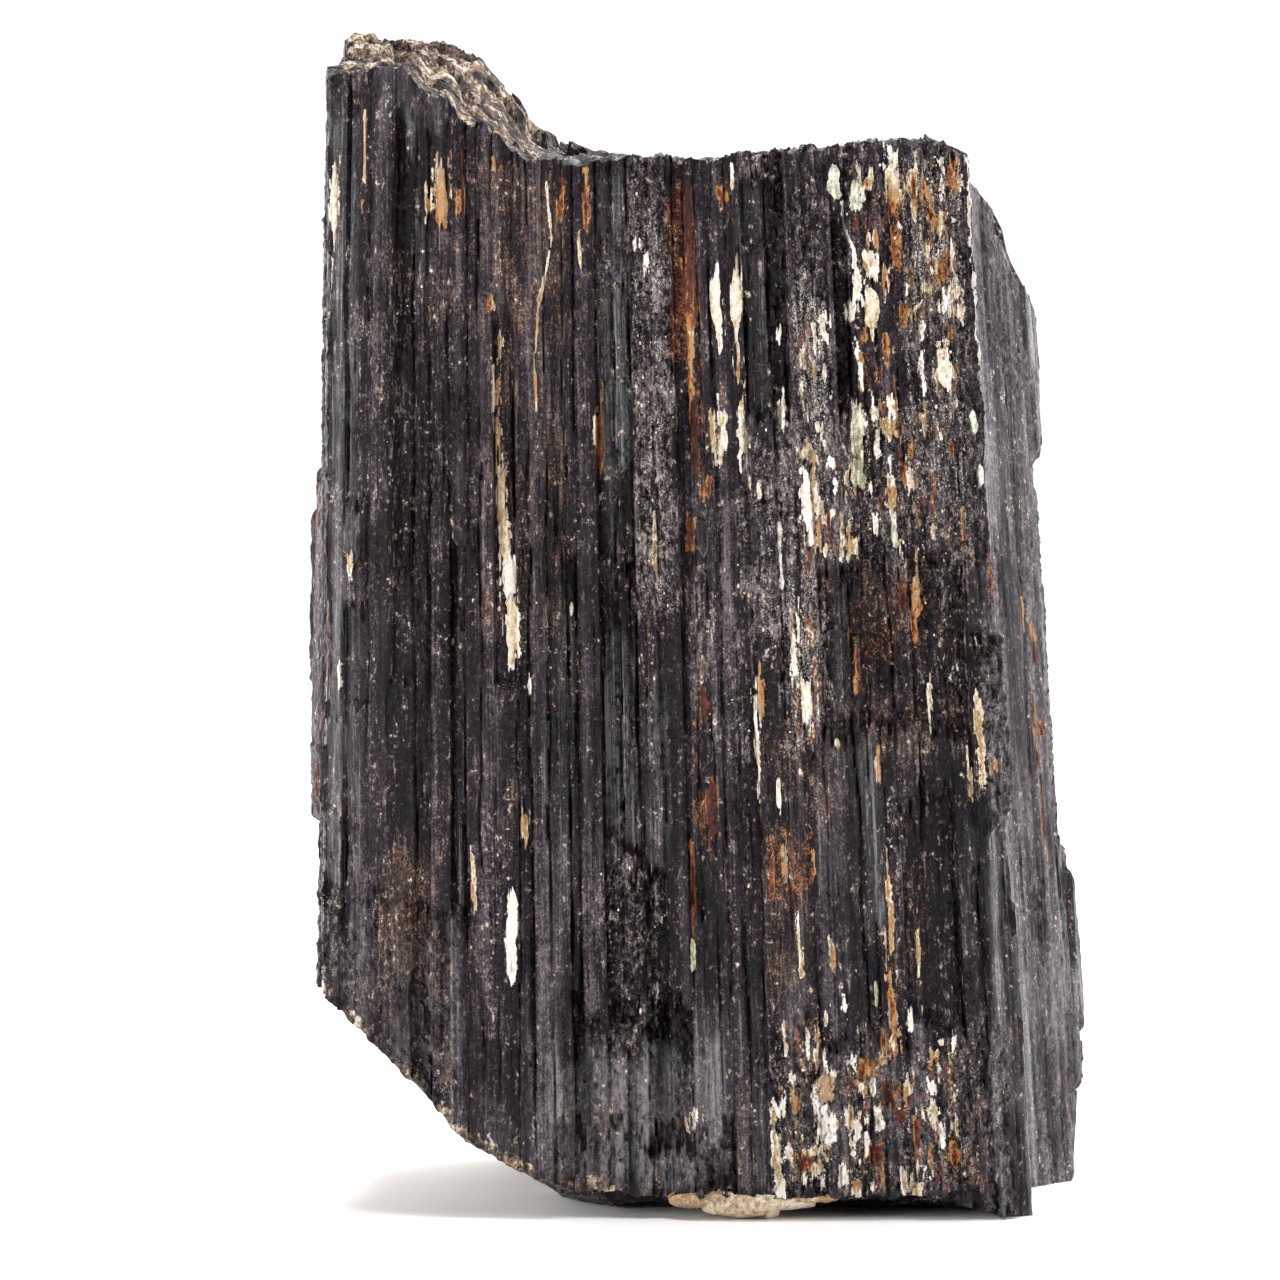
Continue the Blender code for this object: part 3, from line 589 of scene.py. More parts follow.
    (20.1, 31, 0.9, 12, 0.4, 0.35), (20.3, 21.5, 0.8, 9, 0.35, 0.4), (23.2, 27, 0.4, 11, 0.4, 0.35),
    (23.4, 63.5, 0.8, 3, 0.75, 0.8), (24.9, 64.5, 0.7, 5, 0.6, 0.6), (24.6, 60.5, 0.6, 2.5, 0.65, 0.65),
    (34.8, 65, 1, 5, 0.6, 0.6),
]
Crowd = namedtuple("Crowd", "low high foot head count tints")
CROWDS = [
    Crowd(13.0, 17.0, 67.0, 96.0, 22, (0.03, 0.08, 0.12, 0.2, 0.3)),
    Crowd(20.0, 33.0, 91.0, 107.5, 34, (0.05, 0.1, 0.14, 0.3, 0.4, 0.55)),
    Crowd(20.0, 31.0, 67.0, 91.0, 30, (0.08, 0.14, 0.3, 0.45, 0.55, 0.62)),
    Crowd(8.0, 26.5, 2.5, 19.0, 36, (0.04, 0.1, 0.16, 0.3, 0.45, 0.6)),
]
THREAD_LINES = [
    ([(-14.6, 105.5), (-14.3, 101.4), (-14.1, 99.5), (-14.5, 97.1), (-14.9, 95.6)], (0.1, 0.3), 0.28),
    ([(-14.9, 95.6), (-15.3, 94.2), (-15.7, 92.6)], (0.5, 0.4), 0.42),
    ([(-15.7, 92.6), (-15.8, 90.5), (-16.1, 87.2), (-16.0, 82.0)], (0.3, 0.1), 0.46),
    ([(18.7, 103.5), (18.7, 101.6), (19.0, 100.4), (19.8, 98.5), (19.8, 96.4)], (0.2, 0.5), 0.05),
    ([(29.2, 108.1), (29.9, 107.6), (30.3, 106.2), (30.4, 105.1), (30.5, 103.7)], (0.2, 0.2), 0.03),
    ([(33.9, 108.1), (33.8, 104.7), (33.7, 101.6), (33.7, 98.9), (33.7, 96.4)], (0.3, 0.3), 0.12),
    ([(33.9, 96.4), (33.8, 93.3), (33.7, 91.0), (33.7, 88.6), (34.0, 86.3)], (0.35, 0.3), 0.14),
    ([(30.6, 102.5), (31.5, 101.9), (31.7, 101.2)], (0.3, 0.3), 0.05),
    ([(27.3, 93.6), (27.1, 93.1), (26.5, 92.5)], (0.3, 0.3), 0.14),
    ([(19.6, 89.7), (19.8, 88.6), (19.6, 88.0), (19.9, 87.1), (19.9, 85.5), (20.0, 84.2)], (0.4, 0.6), 0.05),
]
print(len(FILLINGS), "fillings and", len(THREAD_LINES), "thread lines")

# %% [markdown]
# ## Small fillings and those of the other sides
#
# The small ones on the front are scattered by chance inside four crowded places. On the other sides a chosen
# groove has a few threads one above the other, where a crack stood open while they grew: most on the left
# are brown, and those at the back are paler.

# %% Scatter fillings
SMALL_WIDTHS, SMALL_HEIGHTS = (0.25, 1.0), (0.8, 2.8)
STRAY_THREADS = {"left": 50, "back": 110, "right": 24}
STRAY_TINTS = {"left": (0.2, 0.56, 0.66, 0.76), "back": (0.08, 0.2, 0.35, 0.5, 0.7),
               "right": (0.3, 0.58, 0.7)}
STRAY_WIDTHS, STRAY_HEIGHTS = (0.3, 1.5), (1.5, 9.0)
STRAY_FOOT, STRAY_HEAD = (8, 90), 100
THREADS_TO_A_GROOVE = (2, 7)
SIDE_SPAN = {"left": (-15.0, 18.0), "back": (-28.0, 34.0), "right": (-20.0, 20.0)}


def small_fillings(dice):
    """Small fillings, where they crowd on the front."""
    rows = []
    for crowd in CROWDS:
        for _ in range(crowd.count):
            x, z = dice.uniform(crowd.low, crowd.high), dice.uniform(crowd.foot, crowd.head)
            tint = dice.choice(crowd.tints)
            width, height = dice.uniform(*SMALL_WIDTHS), dice.uniform(*SMALL_HEIGHTS)
            rows.append((x, z, width, height, tint, tint + dice.uniform(-0.03, 0.1)))
    return rows


def stray_fillings(dice):
    """Threads on the other sides, several along each chosen groove."""
    rows = []
    for side, count in STRAY_THREADS.items():
        while count > 0:
            across, tint = dice.uniform(*SIDE_SPAN[side]), dice.choice(STRAY_TINTS[side])
            z = dice.uniform(*STRAY_FOOT)
            for _ in range(dice.randint(*THREADS_TO_A_GROOVE)):
                width, height = dice.uniform(*STRAY_WIDTHS), dice.uniform(*STRAY_HEIGHTS)
                shade = min(max(tint + dice.uniform(-0.12, 0.2), 0.0), 1.0)
                station = station_at(side, across + dice.uniform(-0.9, 0.9))
                rows.append((station, z, width, height, shade, shade + 0.05))
                z = z + dice.uniform(0.6, 1.3) * height
                count -= 1
                if z > STRAY_HEAD:
                    break
    return rows


front_rows = FILLINGS + small_fillings(random.Random(SEED + 3))
ALL_FILLINGS = [(station_at("front", x), *rest) for x, *rest in front_rows]
ALL_FILLINGS += stray_fillings(random.Random(SEED + 1))
print(len(ALL_FILLINGS), "fillings on all four sides")

# %% [markdown]
# ## What a filling covers
#
# A filling is a bundle of cleavage splinters, one to a strand, each with its own two ends and its own
# tint, and some are missing. `filled` says how surely a place is covered: it is over 1 in the middle of a
# splinter and below 0 well outside it. The material draws its own ragged edge where `filled` passes a
# threshold.

# %% Splinters of the fillings
STRAND_LOT, FILL_LOT = 7, 131
SPLINTER_TIP = 0.7
SPLINTER_ENDS = (0.35, 1.1)
MISSING_SPLINTERS = 0.14
FILL_DRIFT, FILL_DRIFTING = 0.25, Lumps(3.0, 7.0, 31.0)
FILL_STREAKS, FILL_CHIPS = Lumps(0.45, 1.35, 41.0), Lumps(0.6, 0.9, 43.0)
TINT_SPREAD = 0.26


def splintered(lots, reach, up):
    """How far inside its two ends each splinter's point is."""
    top = (reach * (SPLINTER_ENDS[0] + SPLINTER_ENDS[1] * lots[:, 0]) - up) / SPLINTER_TIP
    bottom = (reach * (SPLINTER_ENDS[0] + SPLINTER_ENDS[1] * lots[:, 1]) + up) / SPLINTER_TIP
    return np.minimum(top, bottom)


def fill_splinters(filled, tint, stations, z, drift):
    """Lays every filling over the points near it."""
    strand = owner(STRANDS, strayed(stations, z))
    order = np.argsort(z)
    rising = z[order]
    for number, (station, middle, width, height, head, foot) in enumerate(ALL_FILLINGS):
        span = 0.8 * height + 0.6
        low, high = np.searchsorted(rising, (middle - span, middle + span))
        near = order[low:high]
        near = near[np.abs(stations[near] - station) < width + 0.8]
        lots = LOTS[(strand[near] * STRAND_LOT + number * FILL_LOT) % len(LOTS)]
        u = 2 * (stations[near] + drift[near] - station) / max(width, 0.35)
        reach = 0.5 * height * (1 - 0.1 * np.abs(u)) + 0.3
        sure = np.minimum(splintered(lots, reach, z[near] - middle), 1.45 - np.abs(u))
        sure -= lots[:, 2] < MISSING_SPLINTERS
        better = sure > filled[near]
        chosen = near[better]
        filled[chosen] = sure[better]
        share = np.clip((z[near] - middle) / height + 0.5, 0, 1)
        tint[chosen] = (foot + (head - foot) * share + TINT_SPREAD * (lots[:, 3] - 0.5))[better]


def fill_threads(filled, tint, stations, z, x):
    """Lays the bent thread lines of the front."""
    on_front = side_of(stations) == 0
    for points, widths, shade in THREAD_LINES:
        xs, zs = np.array(points)[::-1].T
        middle, width = np.interp(z, zs, xs), np.interp(z, zs[[0, -1]], widths[::-1])
        sure = 1.3 - 2 * np.abs(x - middle) / np.maximum(width, 0.3)
        sure = np.where(on_front & (z > zs[0]) & (z < zs[-1]), sure, -1.0)
        better = sure > filled
        filled[better], tint[better] = sure[better], shade


def filled_and_tint(stations, z):
    """How surely each place is filled, and how stained the filling is there."""
    x, y = plan_points(stations).T
    filled, tint = np.full(len(z), -1.0), np.zeros(len(z))
    drift = FILL_DRIFT * wobble(x, y, z, FILL_DRIFTING)
    broken = 0.30 * wobble(x, y, z, FILL_STREAKS) + 0.4 * chips(x, y, z, FILL_CHIPS)
    fill_splinters(filled, tint, stations, z, drift)
    fill_threads(filled, tint, stations, z, x + 0.4 * drift)
    return np.clip(np.minimum(filled, 1.2) + broken, -1.0, 1.5), np.clip(tint, 0.0, 1.0)


print("a splinter's tip fades over", SPLINTER_TIP, "mm")

# %% [markdown]
# ## The relief of the skin
#
# The distance from the outline in to the skin adds everything up: panels, prisms, ribs and strands, then
# hackly chips, then sugary grains, and last the fillings, which stand a little proud.

# %% The skin's relief
RAGGED, RAGGED_ENDS, STRAND_RAGGED = 0.6, Lumps(0.9, 0.9, 5.0), 1.1
BUNDLED = Lumps(2.0, 16.0, 17.0)
COARSE_CHIPS, FINE_CHIPS = Lumps(1.3, 1.82, 9.0), Lumps(0.55, 0.605, 2.0)
HACKLY, HACKLY_PATCHES = 0.14, Lumps(5.0, 11.0, 81.0)
SUGAR_HEIGHT = 0.16
FILL_RAISED = 0.14


def skin_insets(stations, z):
    """The distance from the outline in to the skin."""
    x, y = plan_points(stations).T
    splinters = STRANDS.splinters[owner(STRANDS, stations), 0]
    ragged = z + RAGGED * wobble(x, y, z, RAGGED_ENDS) + STRAND_RAGGED * splinters
    depth, rough = panelled(stations, ragged)
    amounts = finish_amounts(stations, z)
    bundled = 0.3 + 0.7 * ramp(wobble(x, y, z, BUNDLED), -0.3, 0.3)
    edges = strayed(stations, z)
    inset = depth + insets_of(PRISMS, edges, ragged)
    inset += (insets_of(RIBS, edges, ragged) + insets_of(STRANDS, edges, ragged)) * bundled
    coarse, fine = chips(x, y, z, COARSE_CHIPS), chips(x, y, z, FINE_CHIPS)
    rough += HACKLY * ramp(wobble(x, y, z, HACKLY_PATCHES), 0.05, 0.4)
    inset += rough * (0.8 * coarse + 0.5 * fine)
    inset += SUGAR_HEIGHT * amounts["sugar"] * (fine + 0.6 * coarse) * (1 - amounts["gloss_and_sheen"])
    filled, _ = filled_and_tint(stations, z)
    return inset - FILL_RAISED * ramp(filled, 0.2, 0.6)


middle_of_front = station_along("front", np.linspace(0.2, 0.8, 50))
print("relief across the front, mm:", np.ptp(skin_insets(middle_of_front, np.full(50, 60.0))).round(2))

# %% [markdown]
# ## The broken ends
#
# Both ends are fractures straight across the prisms. A height for every (x, y) is enough to describe
# them: the rims' heights first, then a step for each prism's stump, then fine roughness. The rims are
# lines of (x, z) points, listed from the left.

# %% Heights of the two ends
FRONT_RIM = [(-39.1, 117.1), (-30.8, 117.3), (-28.4, 114.9), (-26.2, 114.7), (-24.4, 111.9), (-20.1, 110.6),
             (-15.8, 107.4), (-10.0, 107.9), (2.9, 108.0), (14.3, 109.0), (21.1, 109.7), (29.0, 109.8),
             (34.0, 108.2)]
BACK_RIM = [(-41.2, 121.5), (-38.1, 122.6), (-29.4, 122.4), (-23.1, 120.6), (-20.1, 117.6), (-16.8, 113.8),
            (-11.7, 111.2), (-4.0, 109.0), (12.0, 107.5), (26.0, 108.5), (35.0, 106.4), (38.5, 102.8),
            (40.0, 98.9), (43.0, 93.6)]
UNDERSIDE = [(-39.6, 23.2), (-33.4, 17.9), (-27.0, 11.1), (-24.7, 8.3), (-19.3, 5.3), (-14.6, 3.1),
             (-6.5, 2.6), (-1.4, 2.2), (2.6, 1.6), (5.5, 1.5), (9.0, 1.9), (14.0, 2.4), (23.9, 2.2),
             (28.0, 1.6), (31.0, 0.3), (37.0, -0.2), (40.0, 2.6), (42.5, 9.2), (43.3, 15.9)]
RIM_BLEND = (-20.0, 8.0)
STUMP_SIZE, STUMP_STEP = 4.2, 1.7
SPLINTER_SIZE, SPLINTER_STEP = 1.1, 0.4
TOP_CHIPS, TOP_LUMPS = Lumps(0.8, 0.8, 1.0), Lumps(1.6, 1.6, 3.0)
BULGE = 3.4
BULGE_FROM_LEFT = (-26.0, -9.0)
BULGE_EDGE = (11.0, 25.0)
FOOT_LUMPS, FOOT_ROUGHNESS = Lumps(6.0, 6.0, 4.0), Lumps(1.8, 1.8, 6.0)
UNDERSIDE_LUMPS = 0.7
BREAK_ROUGHNESS = 0.4


def height_on(line, xs):
    """The height of a line of (x, z) points."""
    return np.interp(xs, *np.array(line).T)


def top_heights(points):
    """The upper break: a slope between the rims, stepped where single prisms end."""
    x, y = points.T
    climb = ramp(y, *RIM_BLEND)
    height = (1 - climb) * height_on(FRONT_RIM, x) + climb * height_on(BACK_RIM, x)
    step = STUMP_STEP * stumps(x, y, STUMP_SIZE) * (0.25 + 0.75 * climb)
    splinters = SPLINTER_STEP * stumps(x, y, SPLINTER_SIZE) + 0.25 * chips(x, y, 0.0, TOP_CHIPS)
    return height + step + splinters * 0.7 + BREAK_ROUGHNESS * wobble(x, y, 0.0, TOP_LUMPS)


def underside_heights(points):
    """The lower break, whose middle is level because the block stands on it."""
    x, y = points.T
    bulge = BULGE * ramp(x, *BULGE_FROM_LEFT) * (1 - ramp(np.abs(y), *BULGE_EDGE))
    lumps = UNDERSIDE_LUMPS * wobble(x, y, 0.0, FOOT_LUMPS)
    lumps = lumps + BREAK_ROUGHNESS * wobble(x, y, 0.0, FOOT_ROUGHNESS)
    rough = 0.5 * SPLINTER_STEP * stumps(x, y, SPLINTER_SIZE)
    return np.maximum(height_on(UNDERSIDE, x) - bulge + lumps + rough, 0.0)


print("the front rim is highest at", max(z for _, z in FRONT_RIM), "mm and the back rim at",
      max(z for _, z in BACK_RIM), "mm")

# %% [markdown]
# ## Points that carry their finish
#
# Each point of the skin keeps its place on the straight block, so that the patterns can follow the leaning
# prisms. Its finishes come with it, as attributes that the material reads. Numbers stored on points let one
# material show every change of finish, with no seam between them.

# %% Meshes and their attributes
def coordinates(mesh):
    """A mesh's points as an array."""
    flat = np.empty(len(mesh.vertices) * 3, np.float32)
    mesh.vertices.foreach_get("co", flat)
    return flat.reshape(-1, 3).astype(float)


def set_attribute(mesh, name, values, kind="FLOAT"):
    """Stores a number or a vector at each point of a mesh."""
    attribute = mesh.attributes.new(name, kind, "POINT")
    field = "vector" if kind == "FLOAT_VECTOR" else "value"
    attribute.data.foreach_set(field, np.asarray(values, np.float32).ravel())


def lay_and_dress(mesh, places, values):
    """Lays a mesh on the block and stores its places on the straight block and its finishes."""
    mesh.vertices.foreach_set("co", (tapered(places) * MM).astype(np.float32).ravel())
    set_attribute(mesh, "grown", places, "FLOAT_VECTOR")
    for name, amounts in values.items():
        set_attribute(mesh, name, amounts)


def new_mesh(name, bm):
    """A mesh from a bmesh."""
    mesh = bpy.data.meshes.new(name)
    bm.to_mesh(mesh)
    bm.free()
    return mesh


print("each point carries", 5 + len(FINISHES), "numbers and its place")

# %% [markdown]
# ## The skin's shells
#
# The skin is made in five shells that meet in deep grooves: two for the front, which need the finest
# grid, and one for each other side. Each starts as a flat grid. Its border is extruded step by step and
# closed with one hidden face, and then the points are laid on the block: the grid becomes the skin, and
# the extruded border turns inwards over the broken ends.

# %% Grids with lips
Shell = namedtuple("Shell", "name start end columns rows")
FRONT_SEAM = station_at("front", -0.6)
SHELLS = [
    Shell("schorl_front_left", SIDE_STARTS[0], FRONT_SEAM, 198, 450),
    Shell("schorl_front_right", FRONT_SEAM, SIDE_STARTS[1], 190, 450),
    Shell("schorl_right", SIDE_STARTS[1], SIDE_STARTS[2], 190, 300),
    Shell("schorl_back", SIDE_STARTS[2], SIDE_STARTS[3], 230, 230),
    Shell("schorl_left", SIDE_STARTS[3], GIRTH, 150, 260),
]
COARSER = 1
LIP_STEPS, LIP_STEP = 5, 0.9


def lipped_grid(columns, rows):
    """A flat grid from 0 to 1, with its border extruded in steps to whole heights and closed."""
    bm = bmesh.new()
    bmesh.ops.create_grid(bm, x_segments=columns, y_segments=rows, size=0.5)
    bmesh.ops.translate(bm, verts=bm.verts, vec=(0.5, 0.5, 0.0))
    border = [edge for edge in bm.edges if edge.is_boundary]
    for _ in range(LIP_STEPS):
        made = bmesh.ops.extrude_edge_only(bm, edges=border)["geom"]
        raised = [part for part in made if isinstance(part, bmesh.types.BMVert)]
        bmesh.ops.translate(bm, verts=raised, vec=(0, 0, 1))
        border = [part for part in made if isinstance(part, bmesh.types.BMEdge) and part.is_boundary]
    bmesh.ops.contextual_create(bm, geom=border)
    bmesh.ops.recalc_face_normals(bm, faces=bm.faces)
    return new_mesh("shell", bm)


print("the lips reach", LIP_STEPS * LIP_STEP, "mm in over the broken ends")

# %% [markdown]
# ## Laying a shell on the block
#
# A fresh break is black, but the raised end at the left rear is an old one with a tan and cream crust.
# The crust runs a little over the rim, and there is more of it along the left foot.

# %% Lay the shells
HIDDEN_END = (30.0, 90.0)
LEAST_CRUST = 0.15
CRUST_FROM_MIDDLE, CRUST_FROM_FRONT = (12.0, 20.0), (-26.0, -14.0)
RIM_CRUST, RIM_CRUST_FADE = 0.2, (-1.6, 0.0)
FOOT_CRUST, FOOT_CRUST_FADE, FOOT_CRUST_FROM_MIDDLE = 0.75, (-2.2, -0.4), (0.0, 8.0)
RIB_GROOVE_SHADE = 0.6


def end_crust(places):
    """How much crust there is on the broken ends: most on the raised end at the left rear."""
    to_left, to_back = ramp(-places[:, 0], *CRUST_FROM_MIDDLE), ramp(places[:, 1], *CRUST_FROM_FRONT)
    return LEAST_CRUST + (1 - LEAST_CRUST) * to_left * to_back


def skin_finishes(stations, z, on_end, on_skin):
    """Fillings, tones, grooves and finishes at each point of a shell."""
    filled, tint = filled_and_tint(stations, z)
    edges = strayed(stations, z)
    # The groove attribute only darkens the colour, as painted shade, and the ribs' grooves get less of it.
    groove = np.maximum(groove_shares(PRISMS, edges, z), RIB_GROOVE_SHADE * groove_shares(RIBS, edges, z))
    tone = tones(edges, panelled(stations, z)[0])
    amounts = {finish: amount * ~on_end for finish, amount in finish_amounts(stations, z).items()}
    return {"filled": np.where(on_end, -1.0, filled), "tint": tint, "tone": tone, "groove": groove * on_skin,
            **amounts}


def shell_mesh(shell):
    """One shell laid on the block, with its finishes."""
    mesh = lipped_grid(shell.columns // COARSER, shell.rows // COARSER)
    right, up, level = coordinates(mesh).T
    level = np.round(level)
    stations = shell.start + np.clip(right, 0, 1) * (shell.end - shell.start) * (1 - 1e-9)
    own, column = np.unique(stations, return_inverse=True)
    plain, away = plan_points(own), outward(own)
    foot, head = underside_heights(plain)[column], top_heights(plain)[column]
    z = foot + (head - foot) * up
    inset = skin_insets(stations, z) + level * LIP_STEP
    places = np.column_stack([plain[column] - away[column] * inset[:, None], z])
    over, under = (level > 0) & (up > 0.9999), (level > 0) & (up < 0.0001)
    places[over, 2] = top_heights(places[over, :2])
    places[under, 2] = underside_heights(places[under, :2])
    hidden = level == LIP_STEPS
    places[hidden, 2] = np.clip(places[hidden, 2], *HIDDEN_END)
    on_end, on_skin = over | under, level == 0
    near_rim = RIM_CRUST * ramp(z - head, *RIM_CRUST_FADE) * end_crust(places)
    near_foot = FOOT_CRUST * ramp(foot - z, *FOOT_CRUST_FADE) * ramp(-places[:, 0], *FOOT_CRUST_FROM_MIDDLE)
    crust = np.where(on_end, end_crust(places), np.maximum(near_rim, near_foot) * on_skin)
    lay_and_dress(mesh, places, {"crust": crust, **skin_finishes(stations, z, on_end, on_skin)})
    return mesh


shell_meshes = [shell_mesh(shell) for shell in SHELLS]
print(sum(len(mesh.vertices) for mesh in shell_meshes), "points on the skin")

# %% [markdown]
# ## The core
#
# The broken ends inside the shells' lips belong to a core: a cube cut into a grid whose walls hide inside
# the shells. Its end faces blend the four edges of the plan, so the grid follows the block's shape
# without any pole. The four corners are taken off the blend once, because the edges count them twice.

# %% Make the core
CORE_DIVISIONS = ((190, 120, 2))
CORE_INSET = 2.6
CORE_SUNK = 0.1


def core_rim(stations, heights_of):
    """The core's edge on a broken end."""
    plain = plan_points(stations)
    return plain - outward(stations) * (skin_insets(stations, heights_of(plain)) + CORE_INSET)[:, None]


def end_points(right, back, heights_of):
    """Points (x, y) inside a broken end, from shares of the way to the right and to the back."""
    columns, column = np.unique(right, return_inverse=True)
    rows, row = np.unique(back, return_inverse=True)
    front_edge = core_rim(station_along("front", columns), heights_of)[column]
    back_edge = core_rim(station_along("back", 1 - columns), heights_of)[column]
    left_edge = core_rim(station_along("left", 1 - rows), heights_of)[row]
    right_edge = core_rim(station_along("right", rows), heights_of)[row]
    corners = core_rim(SIDE_STARTS[:4], heights_of)
    right, back = right[:, None], back[:, None]
    across = (1 - right) * left_edge + right * right_edge
    along = (1 - back) * front_edge + back * back_edge
    near = (1 - right) * corners[0] + right * corners[1]
    far = (1 - right) * corners[3] + right * corners[2]
    return across + along - (1 - back) * near - back * far


def core_mesh():
    """The block's middle with both broken ends."""
    bm = bmesh.new()
    bmesh.ops.create_cube(bm, size=1.0)
    bmesh.ops.translate(bm, verts=bm.verts, vec=(0.5, 0.5, 0.5))
    for axis in (2, 1, 0):
        along = [edge for edge in bm.edges if abs(edge.verts[0].co[axis] - edge.verts[1].co[axis]) > 0.5]
        bmesh.ops.subdivide_edges(bm, edges=along, cuts=CORE_DIVISIONS[axis] - 1)
    mesh = new_mesh("core", bm)
    right, back, up = np.round(coordinates(mesh), 6).T
    top, bottom = end_points(right, back, top_heights), end_points(right, back, underside_heights)
    points = bottom + (top - bottom) * up[:, None]
    heads = top_heights(top) - CORE_SUNK
    feet = underside_heights(bottom) + CORE_SUNK
    places = np.column_stack([points, feet + (heads - feet) * up])
    bare = dict.fromkeys(("tint", "tone", "groove", *FINISHES), np.zeros(len(places)))
    lay_and_dress(mesh, places, {"crust": end_crust(places), "filled": np.full(len(places), -1.0), **bare})
    return mesh


schorl_core = core_mesh()
print(len(schorl_core.vertices), "points on the core")

# %% [markdown]
# ## Making materials
#
# Colours are written as the usual hex values and turned to linear light by one function. One small
# function adds a node: its settings, for each input either a value or the output that feeds it, and a
# colour ramp's stops.

# %% Colour and node helpers
def linear(hex_colour):
    """A hex colour in linear light, as Blender's shaders take it."""
    channels = [int(hex_colour[start : start + 2], 16) / 255 for start in (1, 3, 5)]
    return [c / 12.92 if c <= 0.04045 else ((c + 0.055) / 1.055) ** 2.4 for c in channels] + [1.0]


def feed(tree, node, inputs):
    """Gives each named input a value, a hex colour or the output that feeds it."""
    for name, value in dict(inputs).items():
        if isinstance(value, bpy.types.NodeSocket):
            tree.links.new(value, node.inputs[name])
        else:
            node.inputs[name].default_value = linear(value) if isinstance(value, str) else value


def add(tree, kind, settings=(), inputs=(), stops=()):
    """Adds a node with its settings, inputs and ramp stops, and returns it."""
    new = tree.nodes.new("ShaderNode" + kind)
    for name, value in dict(settings).items():
        setattr(new, name, value)
    feed(tree, new, inputs)
    for number, (position, colour) in enumerate(stops):
        elements = new.color_ramp.elements
        stop = elements[number] if number < len(elements) else elements.new(position)
        stop.position, stop.color = position, linear(colour)
    return new


def new_material(name):
    """A material with a Principled shader, its tree and the shader."""
    material = bpy.data.materials.new(name)
    material.use_nodes = True
    return material, material.node_tree, material.node_tree.nodes["Principled BSDF"]


print("a middle grey in linear light:", round(linear("#808080")[0], 3))

# %% [markdown]
# ## Patterns
#
# Every finish is broken up by the same few patterns, because on the real block they share one cause: the
# way the prisms grew and split. Most are noise with lumps of a real size, drawn out along the prisms.
# `splinters` and `crumbs` are flat cells, each with a tone of its own. `lines` and `curls` come of
# folding a noise up and down: `lines` run along the prisms, and `curls` wind round the chips, as the lips
# of small conchoidal breaks do. Striae and grain are finer on the real block, about 0.1 mm, and are drawn
# twice as coarse so that they show. All run from about -1 to 1, so they can be weighed against each
# other.

# %% Patterns and where a finish shows
Pattern = namedtuple("Pattern", "size length detail roughness")
NOISES = {
    "bands": Pattern(1.5, 30, 2, 0.5), "striae": Pattern(0.24, 60, 2, 0.65),
    "streaks": Pattern(0.5, 9, 4, 0.75), "grain": Pattern(0.17, 1.4, 2, 0.8),
    "chips": Pattern(0.6, 1.25, 4, 0.75), "patches": Pattern(3.2, 1.7, 3, 0.6),
    "swirls": Pattern(0.5, 1.7, 1, 0.6),
}
FOLDED = {"lines": ("striae", 0.2), "curls": ("swirls", 0.3)}
FLAT_CELLS = {"splinters": (0.5, 5.0), "crumbs": (0.36, 1.2)}
NOISE_SPAN = (0.34, 0.66)


def patterns(tree, place):
    """Every pattern by name, read at a place in millimetres."""
    made = {}
    for name, lumps in NOISES.items():
        scale = (1 / lumps.size, 1 / lumps.size, 1 / lumps.size / lumps.length)
        drawn = add(tree, "Mapping", {}, {"Vector": place, "Scale": scale}).outputs[0]
        inputs = {"Vector": drawn, "Scale": 1.0, "Detail": lumps.detail, "Roughness": lumps.roughness}
        noisy = add(tree, "TexNoise", {}, inputs).outputs["Fac"]
        made[name] = add(tree, "MapRange", {"clamp": False}, {
            "Value": noisy, "From Min": NOISE_SPAN[0], "From Max": NOISE_SPAN[1], "To Min": -1.0}).outputs[0]
    for name, (source, step) in FOLDED.items():
        folded = add(tree, "Math", {"operation": "PINGPONG"}, {0: made[source], 1: step}).outputs[0]
        inputs = {"Value": folded, "From Max": step, "To Min": -1.0}
        made[name] = add(tree, "MapRange", {}, inputs).outputs[0]
    for name, (size, length) in FLAT_CELLS.items():
        scale = (1 / size, 1 / size, 1 / size / length)
        drawn = add(tree, "Mapping", {}, {"Vector": place, "Scale": scale}).outputs[0]
        tone = add(tree, "TexVoronoi", {}, {"Vector": drawn, "Scale": 1.0}).outputs["Color"]
        red = add(tree, "SeparateColor", {}, {0: tone}).outputs[0]
        made[name] = add(tree, "MapRange", {}, {"Value": red, "To Min": -1.0}).outputs[0]
    return made


def weighed(tree, sources, weights):
    """The sum of the named sources, each times its weight."""
    total = 0.0
    for name, weight in weights.items():
        inputs = {0: sources[name], 1: weight, 2: total}
        total = add(tree, "Math", {"operation": "MULTIPLY_ADD"}, inputs).outputs[0]
    return total


def shows(tree, sources, weights, low, high, least=0.0, most=1.0):
    """From least to most as the weighed sources pass from low to high."""
    return add(tree, "MapRange", {"interpolation_type": "SMOOTHSTEP"}, {
        "Value": weighed(tree, sources, weights), "From Min": low, "From Max": high,
        "To Min": least, "To Max": most}).outputs[0]


print(len(NOISES) + len(FOLDED) + len(FLAT_CELLS), "patterns")

# %% [markdown]
# ## Schorl
#
# Schorl is iron tourmaline that grew from hot fluid. Its prism faces are natural growth faces, never
# polished: glassy black with fine striae along them. Broken places are duller and sparkle. Its refractive
# index is about 1.64. The finishes are laid over each other as a list of coats: where the weighed sources
# pass from low to high, the coat shows, and its own mottle picks a colour between its stops.

